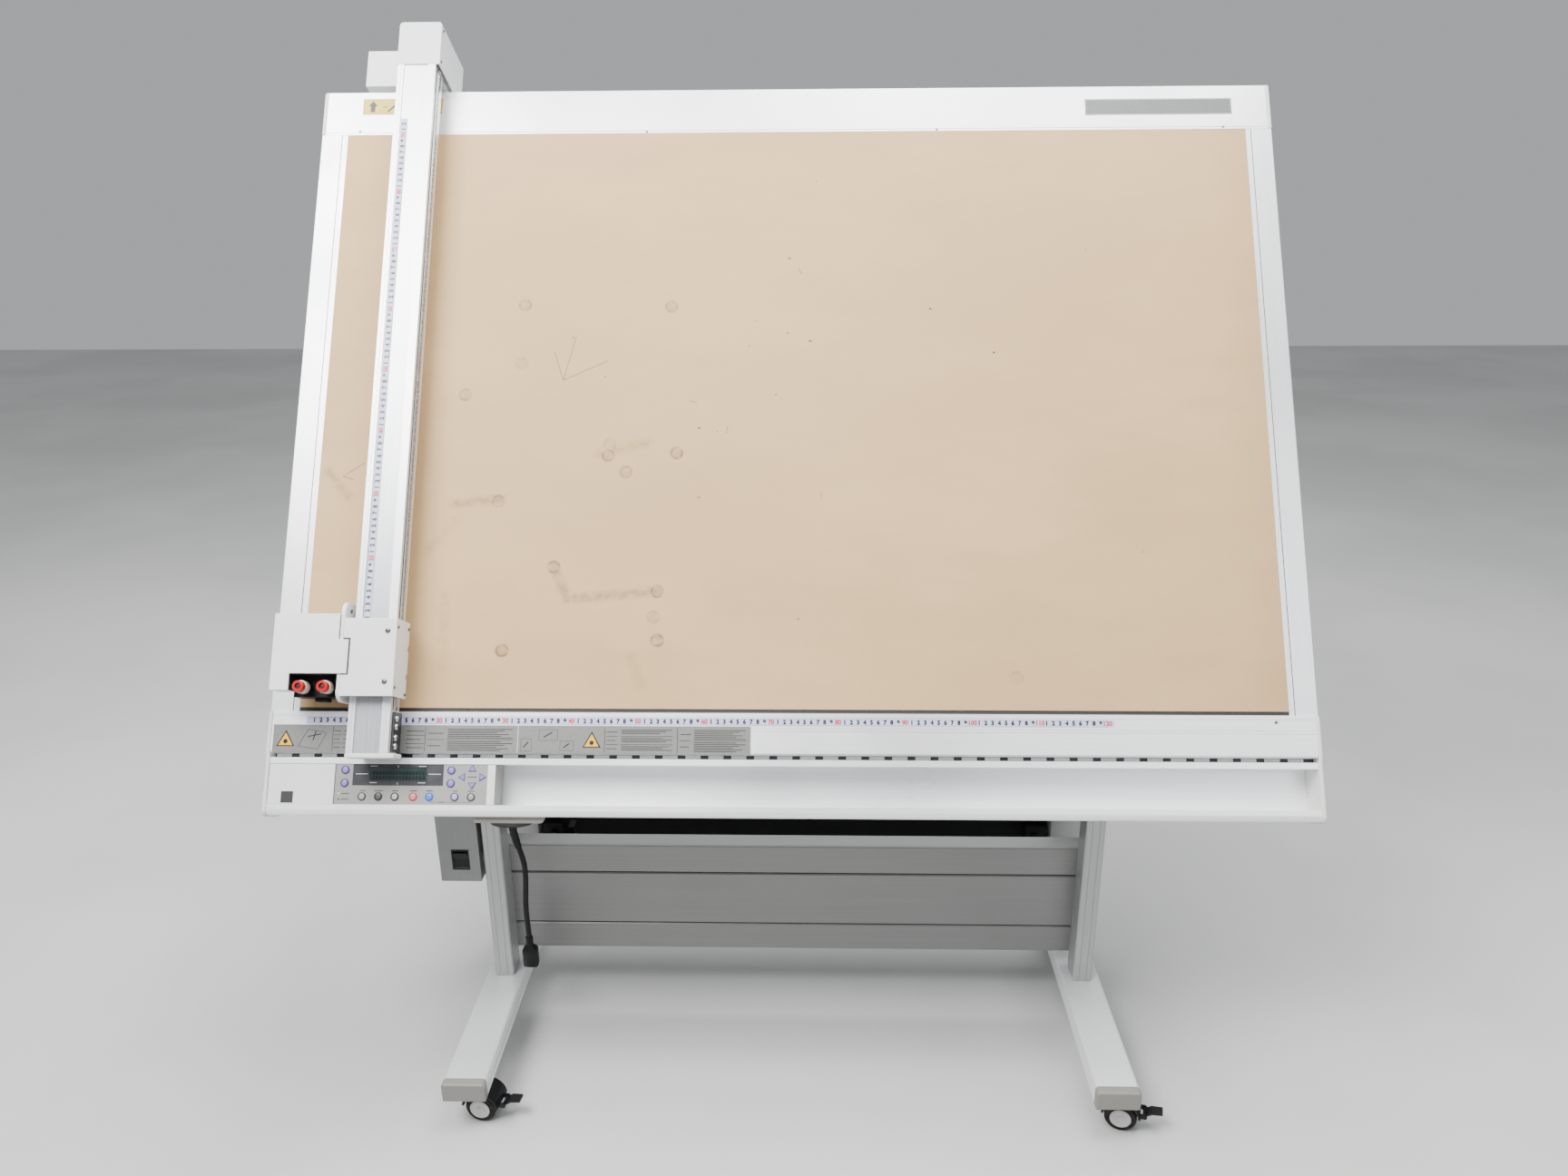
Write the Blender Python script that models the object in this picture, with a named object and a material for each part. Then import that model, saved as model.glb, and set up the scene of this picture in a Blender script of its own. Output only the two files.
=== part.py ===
"""Flatbed vinyl cutter on a tilting stand with casters.

Units are metres, +Z is up and the floor is Z = 0. +X runs along the long ruler,
and +Y runs from the operator to the back. The origin is on the floor, under the
middle of the stand.

The bed is drawn flat in its own frame and then tilted about the stand's shaft:
u runs along the long ruler from its zero, v up the bed from the tools' home,
and w out of the cutting mat's surface.
"""
import math

import bpy
import bmesh
from mathutils import Matrix, Vector

# ---- Travel and overall sizes ---------------------------------------------
BEAM_TRAVEL = 1.200          # cutting length along u
CARRIAGE_TRAVEL = 0.920      # cutting width along v
TOOL_STROKE = 0.004          # a holder's drop on to the mat
FOOT_LENGTH = 0.822          # outside the foot's two end caps
PIVOT_HEIGHT = 0.7367        # tilt shaft above the floor
BED_TILT = math.radians(60)

# ---- Clearances -------------------------------------------------------------
GAP = 0.0003                 # between pieces that touch
RUN = 0.0003                 # radial, between a pin and its hole
SEAM = 0.001                 # open joint between two covers

# ---- Bed, seen from above (u and v) ----------------------------------------
MAT_LEFT = -0.0155
MAT_RIGHT = BEAM_TRAVEL + 0.2698
MAT_FRONT = -0.021
MAT_REAR = CARRIAGE_TRAVEL + 0.014
MAT_THICKNESS = 0.003
SIDE_RAIL_LEFT_WIDTH = 0.0442
SIDE_RAIL_RIGHT_WIDTH = 0.0429
END_CAP = 0.006
BED_LEFT = MAT_LEFT - GAP - SIDE_RAIL_LEFT_WIDTH
BED_RIGHT = MAT_RIGHT + GAP + SIDE_RAIL_RIGHT_WIDTH
BED_MIDDLE = (BED_LEFT + BED_RIGHT) / 2
RAIL_LEFT = BED_LEFT + END_CAP + GAP
RAIL_RIGHT = BED_RIGHT - END_CAP - GAP
REAR_RAIL_FRONT = MAT_REAR + 0.0005
REAR_RAIL_DEPTH = 0.079
REAR_RAIL_BACK = REAR_RAIL_FRONT + REAR_RAIL_DEPTH

# ---- Bed, through its thickness (w) ----------------------------------------
RAIL_TOP = 0.003             # the front rail stands proud of the mat
RAIL_WALL = 0.004
RAIL_BOTTOM = -0.050
PLATEN_THICKNESS = 0.004
PLATEN_TOP = -MAT_THICKNESS - GAP
RIB_BOTTOM = -0.058
RIB_WALL = 0.003
RIB_FLANGE = 0.026

# ---- Front rail and the trough in front of it -------------------------------
FRONT_RAIL_BACK = -0.026
FRONT_RAIL_FRONT = -0.088
PLATEN_FRONT = FRONT_RAIL_BACK + GAP
SLOT_WIDTH = 0.0068
SLOT_FLOOR = -0.014
TROUGH_BACK = FRONT_RAIL_FRONT - SLOT_WIDTH
TROUGH_INNER_BACK = -0.104
TROUGH_INNER_FRONT = -0.164
TROUGH_FRONT = -0.181
TROUGH_WALL = 0.004
TROUGH_DEPTH = 0.049
TROUGH_BOTTOM = -0.054
PANEL_SPLIT = 0.046          # seam between the blank plate and the control panel
PANEL_RIGHT = 0.288
PANEL_TOP = -0.001
PANEL_BODY = 0.044

# ---- Beam and carriage ------------------------------------------------------
BEAM_LEFT = 0.082
BEAM_WIDTH = 0.062
BEAM_BOTTOM = 0.020
BEAM_TOP = 0.056
BEAM_WALL = 0.004
BEAM_FRONT = -0.0907
GUIDE_LOW = 0.036            # groove in the beam's left side
GUIDE_HIGH = 0.044
GUIDE_DEPTH = 0.004
CARRIAGE_TOP = 0.075
SHEET = 0.0025               # folded covers
SIDE_PLATE = (0.0670, 0.0732)
SIDE_PLATE_FRONT = -0.017
SIDE_PLATE_BACK = 0.131
COVER_FRONT = -0.0093
COVER_BACK = 0.1055
COVER_RIGHT = 0.152
TONGUE = (0.0235, 0.0737)     # the left cover's tongue over the side plate
TONGUE_RIGHT = 0.0820
LEFT_COVER = (-0.030, -0.001, 0.112)   # its left side, front and back
LEFT_COVER_BOTTOM = 0.045
NOTCH_LEFT = -0.0024         # side of the notch over the holders
TOOLS = (0.0137, 0.0490)     # u of the two tool holders
TOOL_LINE = 0.0045           # their v
TOOL_BODY_RADIUS = 0.0075
TOOL_RING_RADIUS = 0.0097

# ---- Stand -----------------------------------------------------------------
STAND_INSET = 0.278          # from the bed's side to the middle of a foot
SIDE_X = (BED_RIGHT - BED_LEFT) / 2 - STAND_INSET
FOOT_WIDTH = 0.067
FOOT_HEIGHT = 0.031
FOOT_CAP = 0.016
CASTER_HEIGHT = 0.062
FOOT_TOP = CASTER_HEIGHT + FOOT_HEIGHT
CASTER_INSET = 0.046
POST_WIDTH = 0.032
POST_FRONT = -0.146
POST_DEPTH = 0.044
COLUMN_DEPTH = 0.062
COLUMN_FRONT = 0.047
HEAD_BOTTOM = 0.457
HEAD_HEIGHT = 0.040
HEAD_WIDTH = 0.060
EAR_THICKNESS = 0.020
EAR_RADIUS = 0.032
PIVOT_Y = -0.013
SHAFT_RADIUS = 0.015
BRACKET_THICKNESS = 0.016
BRACKET_RADIUS = 0.030
STRETCHER_WALL = 0.003
STRETCHER_SEAMS = (0.1240, 0.1772, 0.2805, 0.3359)
STRETCHER_JOINT = 0.0022      # dark line between two of them
CROSS_MEMBER = (0.237, 0.357)
CROSS_MEMBER_FRONT = 0.067

# ---- Casters ---------------------------------------------------------------
WHEEL_RADIUS = 0.025
WHEEL_INNER = 0.0072
WHEEL_OUTER = 0.0205
AXLE_RADIUS = 0.004
TRAIL = 0.018
STEM_RADIUS = 0.005
STEM_LENGTH = 0.020
FORK_HALF = 0.0062
CASTER_YAWS = {
    "front_left": math.radians(82),
    "front_right": math.radians(74),
    "rear_left": math.radians(-12),
    "rear_right": math.radians(16),
}

# ---- Pivot of the bed in its own frame ---------------------------------------
PIVOT_V = 0.163
PIVOT_W = -0.183
BRACKET_RIB = 0.062          # each side of the pivot, the stiffener a bracket hangs from

# ---- Small pieces on the stand ------------------------------------------------
SWITCH_BOX = (0.069, 0.060, 0.162)
SWITCH_BOX_BOTTOM = 0.290
ROCKER = (0.024, 0.0296)
ROCKER_THROW = math.radians(16)
OUTLET_BOTTOM = 0.4320
OUTLET_DEPTH = 0.020          # from the flange to the nozzle's end
CORD_RADIUS = 0.0045
LEVER_HEIGHT = 0.577

SEGMENTS = 20


# ---------------------------------------------------------------------------
# Modelling helpers
# ---------------------------------------------------------------------------
def clear_scene():
    for thing in list(bpy.data.objects):
        bpy.data.objects.remove(thing, do_unlink=True)


def finish_mesh(name, bm):
    bmesh.ops.recalc_face_normals(bm, faces=bm.faces)
    mesh = bpy.data.meshes.new(name)
    bm.to_mesh(mesh)
    bm.free()
    return mesh


AXIS_ORDER = {"X": (2, 0, 1), "Y": (0, 2, 1), "Z": (0, 1, 2)}


def prism(outline, low, high, axis):
    """Extrude a closed outline along an axis.

    The outline is (y, z) for axis X, (x, z) for axis Y and (x, y) for axis Z.
    """
    bm = bmesh.new()
    order = AXIS_ORDER[axis]
    corners = []
    for first, second in outline:
        values = (first, second, low)
        corners.append(bm.verts.new([values[i] for i in order]))
    face = bm.faces.new(corners)
    grown = bmesh.ops.extrude_face_region(bm, geom=[face])
    step = Vector([(0.0, 0.0, high - low)[i] for i in order])
    far_end = [item for item in grown["geom"] if isinstance(item, bmesh.types.BMVert)]
    bmesh.ops.translate(bm, verts=far_end, vec=step)
    return finish_mesh("prism", bm)


def block(x, y, z):
    """A box between the low and high values of each axis."""
    outline = [(x[0], y[0]), (x[1], y[0]), (x[1], y[1]), (x[0], y[1])]
    return prism(outline, z[0], z[1], "Z")


def turned(profile, segments=SEGMENTS, axis="Z"):
    """Spin a profile of (radius, height) points, which starts and ends on the axis."""
    bm = bmesh.new()
    points = [bm.verts.new((radius, 0.0, height)) for radius, height in profile]
    edges = [bm.edges.new(pair) for pair in zip(points, points[1:])]
    bmesh.ops.spin(bm, geom=points + edges, cent=(0, 0, 0), axis=(0, 0, 1),
                   angle=2 * math.pi, steps=segments, use_duplicate=False)
    bmesh.ops.remove_doubles(bm, verts=bm.verts, dist=1e-6)
    if axis == "X":
        bmesh.ops.rotate(bm, verts=bm.verts, cent=(0, 0, 0),
                         matrix=Matrix.Rotation(math.pi / 2, 3, "Y"))
    return finish_mesh("turned", bm)


def rod(radius, low, high, axis="Z", segments=SEGMENTS):
    return turned([(0, low), (radius, low), (radius, high), (0, high)], segments, axis)


def moved(mesh, x=0.0, y=0.0, z=0.0):
    mesh.transform(Matrix.Translation((x, y, z)))
    return mesh


def boolean(mesh, tools, operation):
    """The mesh after its tools are joined to it or cut from it."""
    scene = bpy.context.scene.collection
    body = bpy.data.objects.new("body", mesh)
    helpers = [body]
    scene.objects.link(body)
    for tool in tools:
        helper = bpy.data.objects.new("tool", tool)
        scene.objects.link(helper)
        helpers.append(helper)
        step = body.modifiers.new("step", "BOOLEAN")
        step.operation = operation
        step.solver = "EXACT"
        step.object = helper
    bpy.context.view_layer.update()
    evaluated = body.evaluated_get(bpy.context.evaluated_depsgraph_get())
    result = bpy.data.meshes.new_from_object(evaluated)
    for helper in helpers:
        bpy.data.objects.remove(helper, do_unlink=True)
    return result


def joined(mesh, *others):
    return boolean(mesh, others, "UNION")


def cut(mesh, *tools):
    return boolean(mesh, tools, "DIFFERENCE")


def arc(centre, radius, start, end, count):
    """Points on an arc from start to end degrees."""
    points = []
    for i in range(count + 1):
        angle = math.radians(start + (end - start) * i / count)
        points.append((centre[0] + radius * math.cos(angle), centre[1] + radius * math.sin(angle)))
    return points


def mirrored(outline):
    """The outline reflected about its first axis being zero, kept in order."""
    return [(-first, second) for first, second in reversed(outline)]


def rounded_rectangle(x, y, radius, count=3):
    corners = [(x[1] - radius, y[1] - radius, 0), (x[0] + radius, y[1] - radius, 90),
               (x[0] + radius, y[0] + radius, 180), (x[1] - radius, y[0] + radius, 270)]
    outline = []
    for centre_x, centre_y, start in corners:
        outline += arc((centre_x, centre_y), radius, start, start + 90, count)
    return outline


def material(name, colour, roughness, metallic=0.0):
    """Each material is made once and shared by the pieces that use it."""
    found = bpy.data.materials.get(name)
    if found:
        return found
    made = bpy.data.materials.new(name)
    made.use_nodes = True
    shader = made.node_tree.nodes["Principled BSDF"]
    shader.inputs["Base Color"].default_value = (*colour, 1.0)
    shader.inputs["Roughness"].default_value = roughness
    shader.inputs["Metallic"].default_value = metallic
    return made


def satin_aluminium():
    return material("satin_aluminium", (0.80, 0.81, 0.82), 0.36, 0.85)


def brushed_grey():
    return material("brushed_grey", (0.52, 0.53, 0.53), 0.42, 0.80)


def cover_paint():
    return material("cover_paint", (0.80, 0.81, 0.80), 0.45)


def cap_plastic():
    return material("cap_plastic", (0.76, 0.74, 0.70), 0.50)


def beige_plastic():
    return material("beige_plastic", (0.72, 0.66, 0.60), 0.55)


def black_plastic():
    return material("black_plastic", (0.02, 0.02, 0.022), 0.45)


def dark_steel():
    return material("dark_steel", (0.035, 0.036, 0.037), 0.55, 0.3)


def bright_steel():
    return material("bright_steel", (0.62, 0.62, 0.62), 0.25, 1.0)


def empty(name, location, parent=None, rotation=(0.0, 0.0, 0.0)):
    frame = bpy.data.objects.new(name, None)
    frame.empty_display_size = 0.05
    frame.location = location
    frame.rotation_euler = rotation
    frame.parent = parent
    bpy.context.scene.collection.objects.link(frame)
    return frame


def piece(name, mesh, finish, parent, location=(0.0, 0.0, 0.0), rotation=(0.0, 0.0, 0.0), round_form=False):
    """A named piece with its material, placed in its parent's frame."""
    mesh.name = name
    mesh.materials.clear()
    mesh.materials.append(finish)
    if round_form:
        mesh.shade_smooth()
        mesh.set_sharp_from_angle(angle=math.radians(35))
    thing = bpy.data.objects.new(name, mesh)
    thing.parent = parent
    thing.location = location
    thing.rotation_euler = rotation
    bpy.context.scene.collection.objects.link(thing)
    return thing


def soften(thing, width, segments=2):
    """Round the piece's sharp edges, as a moulding has them."""
    bevel = thing.modifiers.new("soft_edges", "BEVEL")
    bevel.width = width
    bevel.segments = segments
    bevel.limit_method = "ANGLE"
    bevel.angle_limit = math.radians(50)
    return thing


# ---------------------------------------------------------------------------
# Frames
# ---------------------------------------------------------------------------
class Frames:
    """The empties that carry the stand, the bed, the beam and the carriage."""

    def __init__(self):
        self.stand = empty("stand_frame", (0, 0, 0))
        self.tilt = empty("tilt_axis", (0, PIVOT_Y, PIVOT_HEIGHT), self.stand, (BED_TILT, 0, 0))
        self.beam = empty("beam_frame", on_bed(0, 0, 0), self.tilt)
        self.carriage = empty("carriage_frame", (0, 0, 0), self.beam)


def on_bed(u, v, w):
    """A bed point in the tilting frame, whose origin is on the tilt shaft."""
    return (u - BED_MIDDLE, v - PIVOT_V, w - PIVOT_W)


BED_ORIGIN = on_bed(0, 0, 0)


# ---------------------------------------------------------------------------
# Stand
# ---------------------------------------------------------------------------
def foot_section():
    """Half-round-edged bar with a fine groove along each side."""
    half = FOOT_WIDTH / 2
    groove = 0.0015
    right = [(half, 0), (half, 0.011), (half - groove, 0.0125), (half - groove, 0.0145),
             (half, 0.016), (half, FOOT_HEIGHT - 0.004), (half - 0.0012, FOOT_HEIGHT - 0.0012),
             (half - 0.004, FOOT_HEIGHT)]
    return right + mirrored(right)


def foot_mesh():
    bar_end = FOOT_LENGTH / 2 - FOOT_CAP
    bar = prism(foot_section(), -bar_end, bar_end, "Y")
    sockets = []
    for end in (-1, 1):
        hole = rod(STEM_RADIUS + RUN, -0.01, STEM_LENGTH + 0.002)
        sockets.append(moved(hole, y=end * (FOOT_LENGTH / 2 - CASTER_INSET)))
    return cut(bar, *sockets)


def add_foot(side, x, frames):
    foot = foot_mesh()
    piece(f"foot_{side}", foot, satin_aluminium(), frames.stand, (x, 0, CASTER_HEIGHT))
    for end, sign in (("front", -1), ("rear", 1)):
        half = FOOT_WIDTH / 2 + 0.001
        section = [(half, -0.001), (half, FOOT_HEIGHT - 0.003), (half - 0.003, FOOT_HEIGHT + 0.001)]
        inner = sign * (FOOT_LENGTH / 2 - FOOT_CAP + GAP)
        outer = sign * FOOT_LENGTH / 2
        cap = prism(section + mirrored(section), min(inner, outer), max(inner, outer), "Y")
        made = piece(f"foot_cap_{side}_{end}", cap, beige_plastic(), frames.stand, (x, 0, CASTER_HEIGHT))
        soften(made, 0.0025)


def post_section():
    """Slender post with two fine lines down its front face."""
    half, line = POST_WIDTH / 2, 0.0008
    back = POST_FRONT + POST_DEPTH
    right = [(0.0055, POST_FRONT), (0.0055, POST_FRONT + line), (0.0070, POST_FRONT + line),
             (0.0070, POST_FRONT), (half - 0.002, POST_FRONT), (half, POST_FRONT + 0.002), (half, back)]
    return right + mirrored(right)


def column_section():
    half, corner = FOOT_WIDTH / 2, 0.004
    back = COLUMN_FRONT + COLUMN_DEPTH
    right = [(half - corner, COLUMN_FRONT), (half, COLUMN_FRONT + corner), (half, back - corner),
             (half - corner, back)]
    return right + mirrored(right)


def add_uprights(side, x, frames):
    low, high = FOOT_TOP + GAP, HEAD_BOTTOM - GAP
    piece(f"post_{side}", prism(post_section(), low, high, "Z"), brushed_grey(), frames.stand, (x, 0, 0))
    piece(f"column_{side}", prism(column_section(), low, high, "Z"), brushed_grey(), frames.stand, (x, 0, 0))


def ear_outline():
    """Tapered cheek from the head up to a round end about the tilt shaft."""
    base = HEAD_BOTTOM + HEAD_HEIGHT - 0.010
    spread = 0.057
    top = arc((PIVOT_Y, PIVOT_HEIGHT), EAR_RADIUS, -8, 188, 10)
    return [(PIVOT_Y - spread, base), (PIVOT_Y + spread, base)] + top


def head_mesh(inward):
    """Bar over the post and the column, with the ear that holds the tilt shaft.

    inward is +1 where the middle of the stand lies towards +X.
    """
    front, back = POST_FRONT - 0.012, COLUMN_FRONT + COLUMN_DEPTH + 0.008
    half, edge = HEAD_WIDTH / 2, 0.003
    right = [(half, HEAD_BOTTOM), (half, HEAD_BOTTOM + HEAD_HEIGHT - edge),
             (half - edge, HEAD_BOTTOM + HEAD_HEIGHT)]
    bar = prism(right + mirrored(right), front, back, "Y")
    faces = sorted((inward * half, inward * (half - EAR_THICKNESS)))
    ear = prism(ear_outline(), faces[0], faces[1], "X")
    rib_height = 0.120
    rib = prism([(inward * (half - 0.002), HEAD_BOTTOM + 0.030), (-inward * half, HEAD_BOTTOM + 0.030),
                 (-inward * half, HEAD_BOTTOM + HEAD_HEIGHT + 0.004),
                 (inward * (half - 0.002), HEAD_BOTTOM + HEAD_HEIGHT + rib_height)],
                PIVOT_Y - 0.005, PIVOT_Y + 0.005, "Y")
    bore = moved(rod(SHAFT_RADIUS + RUN, -0.1, 0.1, "X"), y=PIVOT_Y, z=PIVOT_HEIGHT)
    return cut(joined(bar, ear, rib), bore)


def add_heads_and_shaft(frames):
    for side, sign in (("left", -1), ("right", 1)):
        piece(f"side_head_{side}", head_mesh(-sign), brushed_grey(), frames.stand, (sign * SIDE_X, 0, 0))
    reach = SIDE_X - HEAD_WIDTH / 2 + EAR_THICKNESS + 0.0045
    piece("tilt_shaft", rod(SHAFT_RADIUS, -reach, reach, "X"), bright_steel(), frames.stand,
          (0, PIVOT_Y, PIVOT_HEIGHT), round_form=True)


def stretcher_outline(low, high, depth, lip):
    """Channel that is open at the back, with its lips turned down or up."""
    front = POST_FRONT + POST_DEPTH + GAP
    wall = STRETCHER_WALL
    return [(front, low), (front, high - 0.003), (front + 0.003, high), (front + depth, high),
            (front + depth, high - lip), (front + depth - wall, high - lip),
            (front + depth - wall, high - wall), (front + wall, high - wall),
            (front + wall, low + wall), (front + depth / 2, low + wall), (front + depth / 2, low)]


def add_stretchers(frames):
    reach = SIDE_X + POST_WIDTH / 2
    names = ("stretcher_lower", "stretcher_middle", "stretcher_upper")
    depths = (0.024, 0.024, 0.035)
    for name, depth, low, high in zip(names, depths, STRETCHER_SEAMS, STRETCHER_SEAMS[1:]):
        outline = stretcher_outline(low, high - STRETCHER_JOINT, depth, 0.012)
        piece(name, prism(outline, -reach, reach, "X"), brushed_grey(), frames.stand)


def add_cross_member(frames):
    """Dark channel between the rear columns, with a bolted block at each end."""
    reach = SIDE_X - FOOT_WIDTH / 2 - GAP
    low, high = CROSS_MEMBER
    front, depth, wall = CROSS_MEMBER_FRONT, 0.030, 0.003
    bolt_height = low + 0.031
    outline = [(front, low), (front, high), (front + depth, high), (front + depth, high - wall),
               (front + wall, high - wall), (front + wall, low + wall), (front + depth, low + wall),
               (front + depth, low)]
    channel = prism(outline, -reach, reach, "X")
    blocks = []
    for sign in (-1, 1):
        span = sorted((sign * (reach - 0.007), sign * (reach - 0.043)))
        blocks.append(block(span, (front - 0.025, front + 0.001), (bolt_height - 0.019, bolt_height + 0.019)))
        bolt = rod(0.007, 0, 0.006, segments=12)
        bolt.transform(Matrix.Rotation(math.pi / 2, 4, "X"))
        blocks.append(moved(bolt, x=sign * (reach - 0.025), y=front - 0.0245, z=bolt_height))
    piece("cross_member", joined(channel, *blocks), dark_steel(), frames.stand)


def add_lock_lever(frames):
    """Hand lever that frees the tilt, on the left ear's inner face."""
    face = -SIDE_X + HEAD_WIDTH / 2 + GAP
    hub = rod(0.018, 0, 0.012, "X")
    drop = 0.300
    lean = 0.074
    thick = 0.0075
    bar = prism([(0, 0.010), (thick, 0.010), (thick, -0.015), (lean + thick, -drop + 0.015),
                 (lean + thick, -drop), (lean, -drop), (lean, -drop + 0.013), (0, -0.018)],
                -0.010, 0.010, "Y")
    grip = block((lean - 0.003, lean + thick + 0.003), (-0.013, 0.013), (-drop - 0.002, -drop + 0.045))
    piece("lock_lever", joined(hub, bar, grip), black_plastic(), frames.stand,
          (face, PIVOT_Y, LEVER_HEIGHT))


def add_switch_box(frames):
    """Power box beside the left post, with its rocker switch."""
    width, depth, height = SWITCH_BOX
    post_face = -SIDE_X - POST_WIDTH / 2
    right = post_face - 0.006
    left = right - width
    front = POST_FRONT - 0.004
    low, high = SWITCH_BOX_BOTTOM, SWITCH_BOX_BOTTOM + height
    shell = block((left, right), (front, front + depth), (low, high))
    tabs = []
    for bottom in (low + 0.020, high - 0.045):
        tabs.append(block((right - 0.001, post_face - GAP), (front + 0.018, front + 0.040),
                          (bottom, bottom + 0.025)))
    centre = ((left + right) / 2 + 0.0022, low + 0.043)
    clear = 0.0012
    pocket = block((centre[0] - ROCKER[0] / 2 - GAP, centre[0] + ROCKER[0] / 2 + GAP),
                   (front - 0.01, front + 0.016),
                   (centre[1] - ROCKER[1] / 2 - clear, centre[1] + ROCKER[1] / 2 + clear))
    piece("switch_box", cut(joined(shell, *tabs), pocket), brushed_grey(), frames.stand)
    half = ROCKER[1] / 2
    rocker = [(-0.0095, half), (-0.0072, 0), (-0.0095, -half), (0.0005, -half), (0.0050, -half / 2),
              (0.0050, half / 2), (0.0005, half)]
    mesh = prism(rocker, -ROCKER[0] / 2, ROCKER[0] / 2, "X")
    piece("power_switch", mesh, black_plastic(), frames.stand, (centre[0], front + 0.008, centre[1]),
          (ROCKER_THROW / 2, 0, 0))


def outlet_place():
    return (-SIDE_X + 0.0470, POST_FRONT - 0.027)


def add_cable_outlet(frames):
    """Flanged cable housing on the left post, with its cord and connector."""
    x, y = outlet_place()
    low = OUTLET_BOTTOM
    flange = prism(rounded_rectangle((x - 0.0575, x + 0.0575), (y - 0.024, POST_FRONT - GAP), 0.006),
                   low, low + 0.006, "Z")
    tab = block((x - 0.0555, -SIDE_X + POST_WIDTH / 2), (POST_FRONT - GAP - 0.005, POST_FRONT - GAP),
                (low + 0.003, HEAD_BOTTOM - 0.002))
    dish = turned([(0, 0.002), (0.0238, 0.002), (0.0238, 0), (0.0190, -0.009), (0.0190, -0.012),
                   (0, -0.012)], 24)
    dish.transform(Matrix.Scale(1.9, 4, (1, 0, 0)))
    nozzle = turned([(0, -0.010), (0.0085, -0.010), (0.0065, -OUTLET_DEPTH), (0, -OUTLET_DEPTH)], 16)
    housing = joined(flange, tab, moved(dish, x, y, low), moved(nozzle, x, y, low))
    piece("cable_outlet", housing, beige_plastic(), frames.stand)
    add_cord(frames, x, y, low - OUTLET_DEPTH)


# Across the stand and down from the outlet's end: a lead that keeps a slight wave.
CORD_ROUTE = ((0.0, 0.0), (0.0012, 0.014), (0.0048, 0.032), (0.0092, 0.050), (0.0128, 0.068),
              (0.0140, 0.086), (0.0134, 0.105), (0.0118, 0.125), (0.0102, 0.145), (0.0094, 0.165),
              (0.0096, 0.185), (0.0102, 0.203), (0.0104, 0.2155))
CONNECTOR_LENGTH = 0.058


def smooth_route(points, steps):
    """Catmull-Rom points through the route, so the bend is even."""
    ends = [points[0] + (points[0] - points[1])] + points + [points[-1] + (points[-1] - points[-2])]
    route = []
    for a, b, c, d in zip(ends, ends[1:], ends[2:], ends[3:]):
        for i in range(steps):
            t = i / steps
            route.append(0.5 * (2 * b + (c - a) * t + (2 * a - 5 * b + 4 * c - d) * t * t
                                + (3 * b - a - 3 * c + d) * t ** 3))
    route.append(points[-1])
    return route


def add_cord(frames, x, y, top):
    start = top - GAP
    points = [Vector((x + across, y, start - down)) for across, down in CORD_ROUTE]
    curve = bpy.data.curves.new("cord", "CURVE")
    curve.dimensions = "3D"
    curve.bevel_depth = CORD_RADIUS
    curve.bevel_resolution = 2
    curve.use_fill_caps = True
    spline = curve.splines.new("POLY")
    route = smooth_route(points, 2)
    spline.points.add(len(route) - 1)
    for spot, place in zip(spline.points, route):
        spot.co = (*place, 1.0)
    curve.materials.append(black_plastic())
    cord = bpy.data.objects.new("cord", curve)
    cord.parent = frames.stand
    bpy.context.scene.collection.objects.link(cord)
    end = points[-1]
    add_connector(frames, end.x, end.y, end.z - GAP)


def add_connector(frames, x, y, top):
    """In-line connector: a tapered neck on a flat-sided body."""
    half, neck = 0.0130, 0.020
    front = [(0.0060, 0), (0.0070, -neck * 0.6), (half, -neck - 0.005), (half, -CONNECTOR_LENGTH + 0.003),
             (half - 0.002, -CONNECTOR_LENGTH)]
    slab = prism(front + mirrored(front), -0.0095, 0.0095, "Y")
    made = piece("cord_connector", slab, black_plastic(), frames.stand, (x, y, top))
    soften(made, 0.002)


# ---------------------------------------------------------------------------
# Casters
# ---------------------------------------------------------------------------
def fork_mesh(with_brake):
    """Hooded fork of a twin-wheel caster: stem, flange, web and hood in one casting."""
    axle = (-TRAIL, -(CASTER_HEIGHT - WHEEL_RADIUS))
    stem = turned([(0, -0.006), (0.019, -0.006), (0.019, -GAP), (0.0085, -GAP), (STEM_RADIUS, 0),
                   (STEM_RADIUS, STEM_LENGTH - 0.001), (STEM_RADIUS - 0.001, STEM_LENGTH),
                   (0, STEM_LENGTH)])
    web = [(0.017, -0.004), (0.014, -0.020)] + arc(axle, 0.0105, 20, -160, 7)
    web += [(axle[0] - 0.012, -0.030), (-0.018, -0.004)]
    web = prism(web, -FORK_HALF, FORK_HALF, "X")
    outer, inner = WHEEL_RADIUS + 0.0055, WHEEL_RADIUS + 0.0020
    hood = prism(arc(axle, outer, 8, 172, 12) + arc(axle, inner, 172, 8, 12),
                 -WHEEL_OUTER, WHEEL_OUTER, "X")
    cap = prism([(-TRAIL - 0.020, -0.022), (0.014, -0.022), (0.016, -0.004), (-0.020, -0.004)],
                -0.014, 0.014, "X")
    parts = [web, hood, cap]
    if with_brake:
        hinge = brake_hinge()
        for sign in (-1, 1):
            cheek = [(hinge[0] + 0.006, hinge[1] - 0.004)] + arc(hinge, 0.004, -90, -270, 6)
            cheek += [(hinge[0] + 0.010, hinge[1] + 0.004)]
            sides = sorted((sign * 0.0090, sign * 0.0120))
            parts.append(prism(cheek, sides[0], sides[1], "X"))
    whole = joined(stem, *parts)
    bore = moved(rod(AXLE_RADIUS + RUN, -0.05, 0.05, "X", 16), y=axle[0], z=axle[1])
    tread_room = moved(wheel_room(), y=axle[0], z=axle[1])
    return cut(whole, bore, *split_room(tread_room))


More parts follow.
